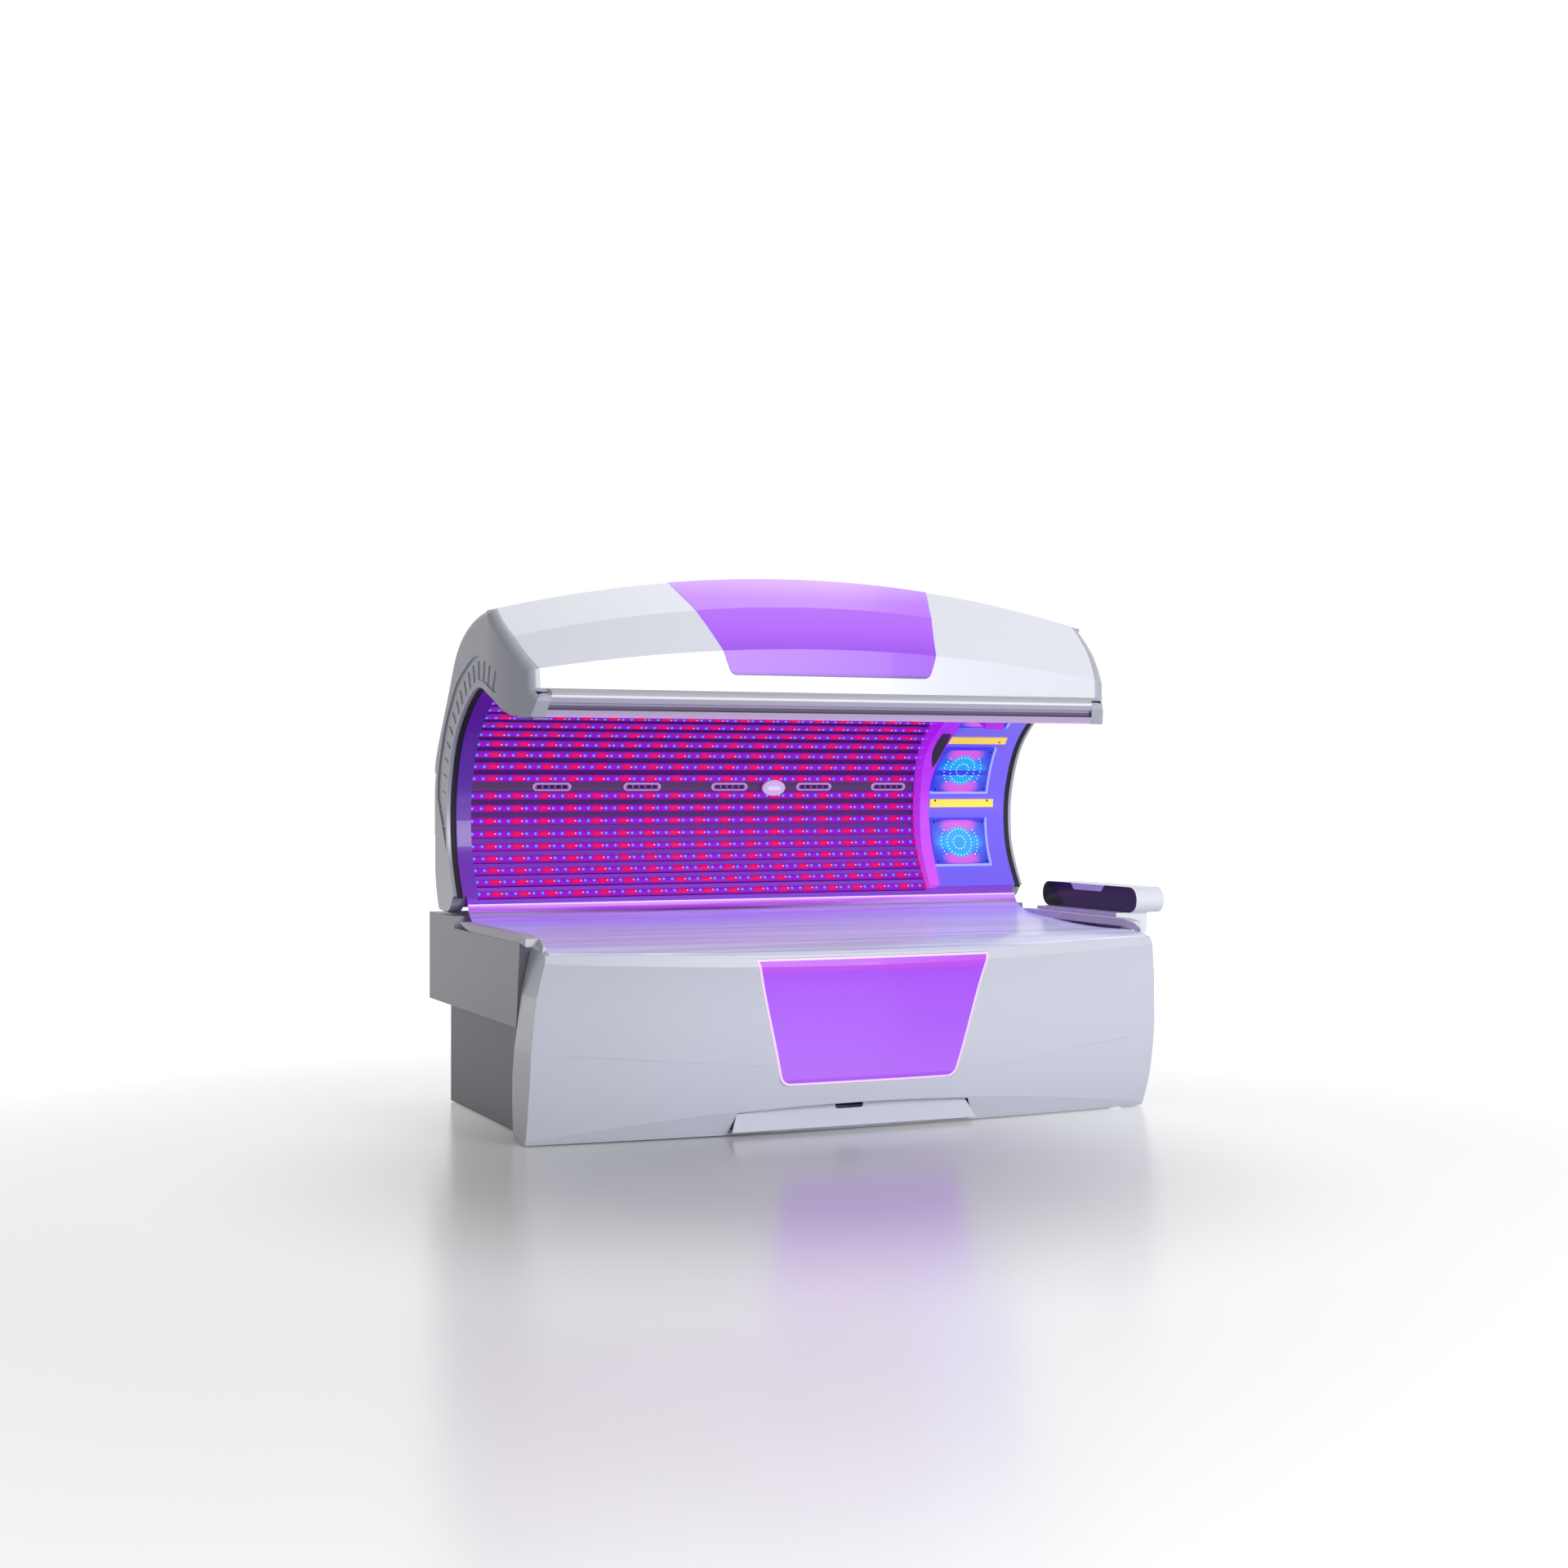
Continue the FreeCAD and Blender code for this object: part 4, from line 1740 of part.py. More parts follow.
def write_canopy():
    write("canopy_shell", make_canopy_shell())
    write("canopy_rear_cover", make_rear_cover())
    left_cap = make_end_cap()
    write("end_cap_left", left_cap)
    write("end_cap_right", mirrored(left_cap))
    write("canopy_light_panel", make_canopy_panel())
    write("canopy_light_board", make_canopy_light_board())
    write("lip_rail", make_lip_rail())
    write("lip_strip", make_lip_strip())
    write("canopy_liner", make_liner())
    write("liner_gaskets", *make_gaskets())
    write("bar_holders", *make_holders())
    lower, upper = bar_distances()
    write("canopy_bars", *make_canopy_bars(lower + upper))
    write("air_channel", make_channel())
    write("nozzle_bezels", *make_bezels())
    for index, x in enumerate(nozzle_x):
        write("air_nozzle_%d" % (index + 1), make_nozzle(x))
    write("keypad_housing", make_keypad())
    write("keypad_button", make_button())
    write("speaker_fin", make_fin())
    write("speaker_grille", make_speaker())
    write("facial_panel", make_facial_panel())
    write("facial_modules", *make_modules())
    write("facial_clamps", *make_clamps())
    write("canopy_frame", make_canopy_frame())
    write("hinge_shaft", make_shaft())
    centre = V(canopy_fan_x, canopy_fan_y,
               stringer_z + stringer / 2.0 + seat + canopy_fan_depth / 2.0)
    reach = (stringer_rear_y - stringer_front_y + stringer) / 2.0
    write("canopy_fan_housing",
          make_fan_housing(canopy_fan_radius, canopy_fan_hub, canopy_fan_depth, centre, reach))
    write("canopy_fan_rotor",
          make_rotor(canopy_fan_radius - canopy_fan_gap, canopy_fan_hub, canopy_fan_depth, centre, fan_blades))
    for side, name in ((-1.0, "left"), (1.0, "right")):
        write("gas_tube_" + name, make_spring_tube(side))
        write("gas_rod_" + name, make_spring_rod(side))


write_base()
write_canopy()
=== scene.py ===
# %% [markdown]
# # A clamshell tanning bed, dressed for a studio picture
# The engineering model arrives as a fixed frame: sixty named pieces, each already in its place, in
# metres. Blender adds what a solid model lacks: finishes, light, the rows of coloured diodes, the faces
# of the facial lamps and their small screws. Nothing of the frame is moved, so every pose still fits.

# %% Load the frame
import math
import bpy
import numpy as np
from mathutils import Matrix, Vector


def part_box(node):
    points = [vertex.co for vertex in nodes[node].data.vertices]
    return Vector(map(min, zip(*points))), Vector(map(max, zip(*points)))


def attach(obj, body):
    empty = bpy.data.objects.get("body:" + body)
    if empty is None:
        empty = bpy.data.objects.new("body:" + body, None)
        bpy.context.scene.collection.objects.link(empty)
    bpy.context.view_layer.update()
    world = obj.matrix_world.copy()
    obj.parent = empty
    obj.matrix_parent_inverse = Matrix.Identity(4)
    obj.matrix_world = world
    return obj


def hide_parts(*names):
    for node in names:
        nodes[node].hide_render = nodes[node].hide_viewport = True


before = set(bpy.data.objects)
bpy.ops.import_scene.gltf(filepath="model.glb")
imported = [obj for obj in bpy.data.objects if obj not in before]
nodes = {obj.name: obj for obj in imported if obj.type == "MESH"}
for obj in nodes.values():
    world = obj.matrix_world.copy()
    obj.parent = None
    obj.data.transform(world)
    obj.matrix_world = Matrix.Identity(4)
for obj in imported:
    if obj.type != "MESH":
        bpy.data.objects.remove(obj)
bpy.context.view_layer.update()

# %% [markdown]
# ## Helpers for the finishes
# A finish is a graph of nodes. It could be drawn by hand in the shader editor, but a graph written as
# code can be read and repeated. One function adds any node, sets its properties and fills its inputs
# with numbers, colours or links, so that each finish below reads as a list of its steps. Colours are
# written as the sRGB hex values that a painter reads off a chart, and one function turns them linear.

# %% Colours and nodes
def colour(text):
    """sRGB hex to linear: c/12.92 in the darks, ((c + 0.055) / 1.055) to the power 2.4 above."""
    srgb = np.array([int(text[i:i + 2], 16) for i in (1, 3, 5)]) / 255.0
    linear = np.where(srgb <= 0.04045, srgb / 12.92, ((srgb + 0.055) / 1.055) ** 2.4)
    return (*[float(value) for value in linear], 1.0)


def fill(node, *values, **named):
    """Fills a node's inputs, in order or by name: a node or socket is linked, hex text is a colour."""
    in_use = [socket for socket in node.inputs if socket.enabled]
    pairs = list(zip(in_use, values))
    pairs += [(node.inputs[name.replace("_", " ")], value) for name, value in named.items()]
    for socket, value in pairs:
        if isinstance(value, bpy.types.Node):
            value = next(output for output in value.outputs if output.enabled)
        if isinstance(value, bpy.types.NodeSocket):
            node.id_data.links.new(value, socket)
        else:
            socket.default_value = colour(value) if isinstance(value, str) else value


def add(material, kind, *values, stops=(), **settings):
    """Adds a node and fills its inputs. A setting with a capital is an input, any other a property.

    The stops of a colour ramp are pairs of a position and a hex text.
    """
    node = material.node_tree.nodes.new("ShaderNode" + kind)
    for name, value in settings.items():
        if not name[0].isupper():
            setattr(node, name, value)
    fill(node, *values, **{name: value for name, value in settings.items() if name[0].isupper()})
    for number, (position, text) in enumerate(stops):
        elements = node.color_ramp.elements
        element = elements[number] if number < len(elements) else elements.new(position)
        element.position = position
        element.color = colour(text)
    return node


def blank(name):
    """A new finish and its shader."""
    material = bpy.data.materials.new(name)
    material.use_nodes = True
    return material, material.node_tree.nodes["Principled BSDF"]


print("mid grey #808080 is", round(colour("#808080")[0], 3), "in linear light")

# %% [markdown]
# ## Moulded, painted and drawn surfaces
# Most pieces are a plastic moulding, a painted sheet or a metal. On all of them the eye reads three
# things: how sharp the gloss is, a slight waviness or grain from the mould, spray or drawing, and a
# faint drift of colour. Each could have a graph of its own; one family carries all three instead, from
# real sizes in millimetres, so that the pieces look as if one maker had finished them.

# %% A family of surface finishes
drift_mm = 400.0


def surface(name, hex_colour, roughness, grain_mm, depth_mm, drift=0.04, metallic=0.0, coat=0.0,
            stretch=(1.0, 1.0, 1.0)):
    """Noise of grain_mm drives a bump of depth_mm and the roughness; a broad noise drifts the colour."""
    material, shader = blank(name)
    place = add(material, "TexCoord").outputs["Object"]
    grain = add(material, "TexNoise", add(material, "Mapping", place, Scale=stretch),
                Scale=1000.0 / grain_mm, Detail=3.0)
    broad = add(material, "TexNoise", place, Scale=1000.0 / drift_mm, Detail=2.0)
    base = np.array(colour(hex_colour)[:3])
    dark, light = base * (1.0 - drift), np.minimum(base * (1.0 + drift), 1.0)
    tint = add(material, "Mix", broad, (*dark, 1.0), (*light, 1.0), data_type="RGBA")
    worn = add(material, "MapRange", grain, 0.0, 1.0, roughness * 0.95, min(1.0, roughness * 1.05))
    bump = add(material, "Bump", Height=grain, Distance=depth_mm / 1000.0, Strength=0.5)
    fill(shader, Base_Color=tint, Roughness=worn, Normal=bump, Metallic=metallic, Coat_Weight=coat,
         Coat_Roughness=0.12)
    return material


print("a grain of 2 mm is a noise scale of", 1000.0 / 2.0, "per metre")

# %% Covers, boxes and frame: what each is made of
dressed = set()


def dress(material, *names):
    """Puts a finish on the frame's own pieces."""
    for name in names:
        nodes[name].data.materials.clear()
        nodes[name].data.materials.append(material)
        dressed.add(name)


# Gloss ABS sheet, vacuum formed and clear-coated: a long soft wave from the former, a sharp coat.
white_cover = surface("gloss_abs_white", "#f0f3fe", 0.24, 60.0, 0.010, 0.004, coat=0.25)
silver_cover = surface("gloss_abs_pearl_silver", "#d8dcea", 0.30, 55.0, 0.010, 0.004, coat=0.1)
# The same sheet sprayed with a metallic silver: darker, with the flake's fine sparkle in the gloss.
silver_cap = surface("gloss_abs_metallic_silver", "#b6b9c5", 0.36, 1.6, 0.01, 0.02, metallic=0.1,
                     coat=0.05)
# Powder-coated steel sheet: satin, with the orange peel of baked powder, about 2 mm across.
grey_sheet = surface("powder_coated_sheet_grey", "#9c9ea7", 0.42, 2.2, 0.03, 0.03)
dark_sheet = surface("powder_coated_sheet_dark", "#93959c", 0.5, 2.2, 0.03, 0.03)
frame_paint = surface("powder_coated_tube", "#4b4e55", 0.45, 2.2, 0.03, 0.04)
# Moulded ASA and polyamide, spark-eroded texture: even and dull, one weatherproof white, one black.
satin_white = surface("satin_asa_white", "#e3e4ea", 0.45, 1.2, 0.02, 0.02)
black_plastic = surface("moulded_polyamide_black", "#17171a", 0.5, 1.2, 0.02, 0.08)
dress(white_cover, "canopy_shell", "console_pod", "console_lid")
dress(silver_cover, "front_cover", "filter_tray")
dress(silver_cap, "end_cap_left", "end_cap_right")
dress(grey_sheet, "side_box_left", "side_box_right", "rear_panel")
dress(dark_sheet, "plinth_panels", "hinge_well")
dress(frame_paint, "base_frame", "canopy_frame")
dress(satin_white, "side_rims", "canopy_rear_cover")
dress(black_plastic, "cable_gland", "fan_housings", "fan_rotor_left", "fan_rotor_right",
      "canopy_fan_housing", "canopy_fan_rotor")
print(len(dressed), "pieces dressed: covers, boxes and frame")

# %% Working parts: what each is made of
# Moulded rubber: matt and black, a little uneven from the mould.
rubber = surface("moulded_epdm_rubber", "#121015", 0.7, 2.5, 0.05, 0.1)
# Turned acetal: ivory, waxy, with fine rings across its axis.
acetal = surface("turned_acetal", "#e9e7dc", 0.35, 0.8, 0.01, 0.02, stretch=(6.0, 1.0, 1.0))
# Zinc plate over turned steel: fine rings across the axis, a little drift in the plating's tone.
zinc_steel = surface("zinc_plated_steel", "#b4b6bd", 0.3, 1.5, 0.01, 0.06, metallic=1.0,
                     stretch=(8.0, 1.0, 1.0))
# Hard chrome on a ground rod: nearly a mirror.
chrome = surface("hard_chrome", "#c9ccd2", 0.08, 1.0, 0.002, 0.02, metallic=1.0)
# Extruded aluminium, anodised: satin, with die lines drawn out along X.
anodised = surface("anodised_aluminium", "#a9abb2", 0.32, 0.9, 0.01, 0.03, metallic=1.0,
                   stretch=(0.1, 1.0, 1.0))
# White solder mask over glass fibre: a smooth lacquer with a hint of the weave.
board = surface("white_solder_mask_board", "#dfe3e6", 0.4, 3.0, 0.02, 0.03)
# Needled polyester: fluffy, no gloss at all.
fleece = surface("needled_polyester_fleece", "#dcdcd6", 0.95, 4.0, 0.6, 0.05)
# Black lacquer on a steel tube: deep gloss under a clear coat.
tube_black = surface("gloss_black_lacquer", "#0d0d0f", 0.18, 20.0, 0.01, 0.05, coat=0.6)
# Smoked gloss acrylic of the console's face: near black, violet in the gloss.
screen = surface("dark_console_face", "#141024", 0.22, 30.0, 0.01, 0.03, coat=0.1)
dress(rubber, "levelling_feet", "liner_gaskets")
dress(acetal, "hinge_bushes")
dress(zinc_steel, "hinge_shaft")
dress(chrome, "gas_rod_left", "gas_rod_right")
dress(anodised, "base_electrics")
dress(board, "front_light_board", "canopy_light_board")
dress(fleece, "filter_pad")
dress(tube_black, "gas_tube_left", "gas_tube_right")
dress(screen, "console_screen")
print(len(dressed), "pieces dressed with the working parts")

# %% [markdown]
# ## Lit panels
# The two trapezoid windows are opal acrylic over a board of violet diodes. Opal sheet spreads the
# light almost evenly, so the colour changes only slowly over the window. What catches the eye is the
# edge: light that travels inside the sheet leaves it there as a thin pale line. Lamps behind a sheet
# that scatters would be slow to render and full of noise. The sheet glows by itself here, and a
# distance to each edge, worked out from the object's own coordinates, places the pale line.

# %% Glowing finishes and the patterns in them
def glowing(name, base, roughness, strength, coat=0.0):
    """A finish that gives light; its pattern is joined to the emission colour afterwards."""
    material, shader = blank(name)
    fill(shader, Base_Color=base, Roughness=roughness, Emission_Strength=strength, Coat_Weight=coat)
    return material, shader


def height_share(material, low, high):
    """0 at the height low, 1 at the height high, both in metres, and straight in between."""
    place = add(material, "TexCoord").outputs["Object"]
    return add(material, "MapRange", add(material, "SeparateXYZ", place).outputs["Z"], low, high)


def beyond(material, place, start, end):
    """Signed distance of the point from the line start to end in the X-Z plane, in metres."""
    along = np.subtract(end, start) / np.linalg.norm(np.subtract(end, start))
    normal = (-along[1], 0.0, along[0])
    reach = add(material, "VectorMath", place, normal, operation="DOT_PRODUCT")
    return add(material, "Math", reach, float(start[0] * normal[0] + start[1] * normal[2]),
               operation="SUBTRACT")


def rounded(material, first, second, radius):
    """Distance to a corner of two edges: radius less the length of the two shortfalls from it."""
    squares = []
    for side in (first, second):
        short = add(material, "Math", add(material, "Math", radius, side, operation="SUBTRACT"), 0.0,
                    operation="MAXIMUM")
        squares.append(add(material, "Math", short, short, operation="MULTIPLY"))
    length = add(material, "Math", add(material, "Math", *squares, operation="ADD"), operation="SQRT")
    return add(material, "Math", radius, length, operation="SUBTRACT")


print("a corner rounded by 30 mm cuts", round(30.0 * (math.sqrt(2.0) - 1.0), 1), "mm off its point")

# %% The window in the front cover
window_low, window_high = (np.array(corner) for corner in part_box("front_light_panel"))
window_x = float(window_low[0] + window_high[0]) / 2.0
bottom_z, top_z = float(window_low[2]), float(window_high[2])
top_half, bottom_half, corner_radius = 0.400, 0.300, 0.030
rim_width, rim_edge, edge = 0.0065, 0.002, 0.0003
foot_height, foot_edge = 0.018, 0.003
dark_violet, cover_silver = "#1c1030", "#d8dcea"
# Cast opal acrylic, gloss: even violet, pinker in the band at its top, with a pale line round it.
opal, shader = glowing("opal_acrylic_lit_violet", dark_violet, 0.3, 0.95, 0.2)
place = add(opal, "TexCoord").outputs["Object"]
z = add(opal, "SeparateXYZ", place).outputs["Z"]
body = add(opal, "ValToRGB", height_share(opal, bottom_z, top_z),
           stops=[(0.0, "#b468f8"), (0.45, "#aa52f8"), (0.885, "#a844f8"), (0.897, "#bb44ee"),
                  (1.0, "#c24cf4")])
left = beyond(opal, place, (window_x - top_half, top_z), (window_x - bottom_half, bottom_z))
right = beyond(opal, place, (window_x + bottom_half, bottom_z), (window_x + top_half, top_z))
top = add(opal, "Math", top_z, z, operation="SUBTRACT")
bottom = add(opal, "Math", z, bottom_z, operation="SUBTRACT")
low_corners = [rounded(opal, side, bottom, corner_radius) for side in (left, right)]
nearest = add(opal, "Math", add(opal, "Math", *low_corners, operation="MINIMUM"), top, operation="MINIMUM")
above_foot = add(opal, "Math", bottom, foot_height, operation="SUBTRACT")
foot_band = add(opal, "MapRange", above_foot, foot_edge, -foot_edge, interpolation_type="SMOOTHSTEP")
rim = add(opal, "MapRange", nearest, rim_width + rim_edge, rim_width - rim_edge,
          interpolation_type="SMOOTHSTEP")
outside = add(opal, "MapRange", nearest, edge, -edge, interpolation_type="SMOOTHSTEP")
shade = add(opal, "Mix", foot_band, body, "#a650f0", data_type="RGBA")
lit = add(opal, "Mix", rim, shade, "#ffdcff", data_type="RGBA")
fill(shader, Emission_Color=add(opal, "Mix", outside, lit, "#000000", data_type="RGBA"),
     Base_Color=add(opal, "Mix", outside, dark_violet, cover_silver, data_type="RGBA"))
dress(opal, "front_light_panel")
print("front window: middle, bottom and top in metres", np.round([window_x, bottom_z, top_z], 3))

# %% The window wrapped over the canopy's crest
crest_low, crest_high = (float(corner[2]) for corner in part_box("canopy_light_panel"))
# The same opal sheet, bent: paler the higher it lies, where a painted reflection of the room is added to its
# glow.
crest_opal, shader = glowing("opal_acrylic_lit_crest", dark_violet, 0.3, 0.92, 0.1)
fill(shader, Emission_Color=add(
    crest_opal, "ValToRGB", height_share(crest_opal, crest_low, crest_high),
    stops=[(0.0, "#6c24b0"), (0.04, "#9c40f0"), (0.25, "#9c40f0"), (0.45, "#ae56fa"), (0.78, "#b868fa"),
           (1.0, "#d09cfa")]))
dress(crest_opal, "canopy_light_panel")
print("crest window from", round(crest_low, 3), "to", round(crest_high, 3), "m up")

# %% [markdown]
# ## Rows of diodes
# Each bar carries one strip of diodes in a repeating group: a long red one, a small white one and two
# blue ones. The half-round lens draws every diode out into a soft blot and leaves the bar's upper flank
# in dim violet. A ball for each diode would need thousands of small lamps. The lens is a half ellipse
# carried along X instead: its grid keeps two coordinates, metres along the bar and the share of the way
# round the lens, and the finish places the blots by them, so a blot stays where its diode is.

# %% Where the bars lie
chamber = np.array([0.12, 1.0])      # a point in the middle of the tunnel, as Y and Z
same_bar = 0.012                     # corners of one bar's section are nearer than this


def corners(name):
    """Every corner point of one of the frame's pieces, as an (n, 3) array of metres."""
    mesh = nodes[name].data
    points = np.empty(len(mesh.vertices) * 3)
    mesh.vertices.foreach_get("co", points)
    return points.reshape(-1, 3)


def groups(points, reach):
    """Number of the group of each point; points nearer than reach share the smallest number."""
    close = np.linalg.norm(points[:, None, :] - points[None, :, :], axis=2) < reach
    label = np.arange(len(points))
    for _ in range(len(points)):
        smallest = np.where(close, label[None, :], len(points)).min(axis=1)
        if (smallest == label).all():
            break
        label = smallest
    return np.unique(label, return_inverse=True)[1]


points = corners("canopy_bars")
sections, of_point = np.unique(np.round(points[:, 1:], 5), axis=0, return_inverse=True)
label = groups(sections, same_bar)
bar_of_point = label[of_point.ravel()]
bars = []
for number in range(label.max() + 1):
    section = sections[label == number]
    middle = (section.max(axis=0) + section.min(axis=0)) / 2.0
    _, _, axes = np.linalg.svd(section - section.mean(axis=0), full_matrices=False)
    inward = axes[1] if np.dot(axes[1], chamber - middle) > 0.0 else -axes[1]
    across = np.array([-inward[1], inward[0]])
    depth, width = (section - middle) @ inward, (section - middle) @ across
    centre = middle + across * (width.max() + width.min()) / 2.0
    ends = points[bar_of_point == number][:, 0]
    bars.append({"centre": centre, "inward": inward, "across": across, "width": width.max() - width.min(),
                 "low": depth.min(), "high": depth.max(), "left": float(ends.min()),
                 "right": float(ends.max())})
print(len(bars), "bars,", round(bars[0]["width"] * 1000, 1), "mm wide, reaching from",
      round(min(bar["left"] for bar in bars), 3), "to", round(max(bar["right"] for bar in bars), 3), "m")


# %% The bars as half ellipses carried along X
flank_height = 0.005                 # the lens's straight flanks, below the half ellipse


def grid_mesh(name, grid, uv):
    """Mesh from an (n, m, 3) grid of points and an (n, m, 2) grid of coordinates.

    Face (i, j) joins points (i, j), (i + 1, j), (i + 1, j + 1) and (i, j + 1).
    """
    rows, columns = grid.shape[:2]
    i, j = np.meshgrid(np.arange(rows - 1), np.arange(columns - 1), indexing="ij")
    first = i * columns + j
    faces = np.stack([first, first + columns, first + columns + 1, first + 1], axis=-1).reshape(-1, 4)
    mesh = bpy.data.meshes.new(name)
    mesh.from_pydata(grid.reshape(-1, 3).tolist(), [], faces.tolist())
    layer = mesh.uv_layers.new(name="UVMap")
    layer.data.foreach_set("uv", uv.reshape(-1, 2)[faces.ravel()].astype(np.float32).ravel())
    return mesh


def place_piece(mesh, material, body):
    """Puts a mesh in the scene with its finish, on the body that it moves with."""
    piece = bpy.data.objects.new(mesh.name, mesh)
    bpy.context.scene.collection.objects.link(piece)
    mesh.materials.append(material)
    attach(piece, body)
    return piece


def smooth(mesh):
    """Shades every face of a mesh smoothly."""
    mesh.polygons.foreach_set("use_smooth", np.ones(len(mesh.polygons), dtype=bool))


def lens_bar(bar, steps=14):
    """Points and coordinates of one bar.

    Round the section, angle a runs from 0 to pi: across = half width times cos a, depth = base plus
    rise times sin a; both flanks then drop straight to the back. The section is the same at both ends,
    and the ends close on the middle of the section.
    """
    low, high, half = bar["low"], bar["high"], bar["width"] / 2.0
    base = low + flank_height
    angle = np.linspace(0.0, math.pi, steps)
    side = np.concatenate([[half], half * np.cos(angle), [-half, half]])
    depth = np.concatenate([[low], base + (high - base) * np.sin(angle), [low, low]])
    turn = np.concatenate([[0.0], angle / math.pi, [1.0, 1.0]])
    ring = bar["centre"] + side[:, None] * bar["across"] + depth[:, None] * bar["inward"]
    hub = np.broadcast_to(ring.mean(axis=0), ring.shape)
    stations = ((bar["left"], hub), (bar["left"], ring), (bar["right"], ring), (bar["right"], hub))
    grid = np.stack([np.column_stack([np.full(len(ring), x), section]) for x, section in stations])
    uv = np.stack([np.column_stack([np.full(len(ring), x), turn]) for x, _ in stations])
    return grid[:, ::-1], uv[:, ::-1]


print("one bar has", lens_bar(bars[0])[0].shape[1], "points round its section")

# %% The lens and its diodes
group_length, group_start = 0.095, 0.03
lens_girth = 0.034                   # way round the lens, for the blots' height
# Place in the group as a share of its length, half length and half height in metres, softness, colour.
blots = [(0.0, 0.0340, 0.0130, 0.9, "#ac0ca0"),      # red light spread wide in the lens
         (0.0, 0.0230, 0.0090, 0.9, "#c80a78"),      # the red diode's halo
         (0.0, 0.0130, 0.0056, 0.8, "#f4085a"),      # the red diode
         (0.35, 0.0082, 0.0066, 0.8, "#7a28e8"),     # the blue diodes' halos
         (0.68, 0.0082, 0.0066, 0.8, "#7a28e8"),
         (0.185, 0.0030, 0.0024, 0.6, "#ffb0e8"),    # the white diode
         (0.35, 0.0040, 0.0034, 0.55, "#58b4ff"),    # the blue diodes
         (0.68, 0.0040, 0.0034, 0.55, "#58b4ff")]


def spot(material, u, v, centre, half, soft):
    """1 inside an ellipse of half sizes round a centre, falling to 0 over its soft edge."""
    squares = []
    for value, middle, size in zip((u, v), centre, half):
        offset = add(material, "Math", value, middle, operation="SUBTRACT")
        share = add(material, "Math", offset, size, operation="DIVIDE")
        squares.append(add(material, "Math", share, share, operation="MULTIPLY"))
    return add(material, "MapRange", add(material, "Math", *squares, operation="ADD"), 1.0 + soft, 1.0 - soft,
               interpolation_type="SMOOTHSTEP")


# Extruded clear acrylic lens over dark diodes: dim violet, lit only where a diode shines through.
led_glass, shader = glowing("diode_bar_lens", "#140828", 0.5, 1.0)
u, v, _ = add(led_glass, "SeparateXYZ", add(led_glass, "UVMap", uv_map="UVMap")).outputs
lens_tones = add(led_glass, "ValToRGB", v,
                 stops=[(0.0, "#1c0628"), (0.10, "#8c10b4"), (0.32, "#9c10c8"), (0.60, "#9410c4"),
                        (0.76, "#8418b4"), (0.94, "#701c9c"), (1.0, "#3a1058")])
shifted = add(led_glass, "Math", u, group_start, operation="SUBTRACT")
along = add(led_glass, "Math", add(led_glass, "Math", shifted, group_length, operation="DIVIDE"),
            operation="FRACT")
across = add(led_glass, "Math", add(led_glass, "Math", v, 0.5, operation="SUBTRACT"), lens_girth,
             operation="MULTIPLY")
lit = lens_tones
for at, half_length, half_height, soft, tone in blots:
    turn = add(led_glass, "Math", add(led_glass, "Math", along, 0.5 - at, operation="ADD"), operation="FRACT")
    metres = add(led_glass, "Math", add(led_glass, "Math", turn, 0.5, operation="SUBTRACT"), group_length,
                 operation="MULTIPLY")
    inside = spot(led_glass, metres, across, (0.0, 0.0), (half_length, half_height), soft)
    lit = add(led_glass, "Mix", inside, lit, tone, data_type="RGBA")
fill(shader, Emission_Color=lit, Specular_IOR_Level=0.15)
for number, bar in enumerate(bars, start=1):
    mesh = grid_mesh("diode_bar_%02d" % number, *lens_bar(bar))
    smooth(mesh)
    place_piece(mesh, led_glass, "canopy")
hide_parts("canopy_bars")
print("about", round(sum(bar["right"] - bar["left"] for bar in bars) / group_length), "groups of four diodes")

# %% [markdown]
# ## The violet lining and what sits on it
# Behind the bars is a gloss sheet that mirrors them. Traced in full, that light between hundreds of
# bright blots would stay speckled. So the sheet carries a painted dim violet glow of its own, brighter near
# the foot, since the low rows shine on it, and the channel, the holders and the fin are mouldings given
# painted light the same way.

# %% Lining, holders, channel, fin
tunnel_z = (0.70, 1.35)              # lowest and highest row of bars, in metres
fin_z = (0.72, 1.35)
channel_z = (1.065, 1.10)


def lit_moulding(name, base, roughness, stops, strength, heights, coat=0.4):
    """A moulding with 2 mm grain that glows by its height: on most, a painted glow of the light that the diodes
    throw on it.
    """
    material, shader = glowing(name, base, roughness, strength, coat)
    place = add(material, "TexCoord").outputs["Object"]
    grain = add(material, "TexNoise", place, Scale=1000.0 / 2.0, Detail=2.0)
    fill(shader, Emission_Color=add(material, "ValToRGB", height_share(material, *heights), stops=stops),
         Normal=add(material, "Bump", Height=grain, Distance=0.02 / 1000.0), Specular_IOR_Level=0.2)
    return material


# Gloss PVC sheet, calendered: a violet mirror for the rows, its glow a painted reflection of them, brightest at
# the foot and darkest in the middle.
lining = lit_moulding("gloss_lining_violet", "#2a1046", 0.5,
                      [(0.0, "#8c4ae0"), (0.25, "#7434b4"), (0.45, "#3c1258"), (1.0, "#48146c")], 0.8,
                      tunnel_z, coat=0.0)
# Moulded polycarbonate: the holders shine violet at their edge, the channel stays a dim plum, both in painted
# light.
holder = lit_moulding("holder_moulding_violet", "#241038", 0.3,
                      [(0.0, "#8444d0"), (0.6, "#6430b8"), (1.0, "#50189c")], 0.7, tunnel_z)
channel = lit_moulding("channel_moulding", "#4a3358", 0.4, [(0.0, "#5c2f70"), (1.0, "#3c1f48")], 0.5,
                       channel_z)
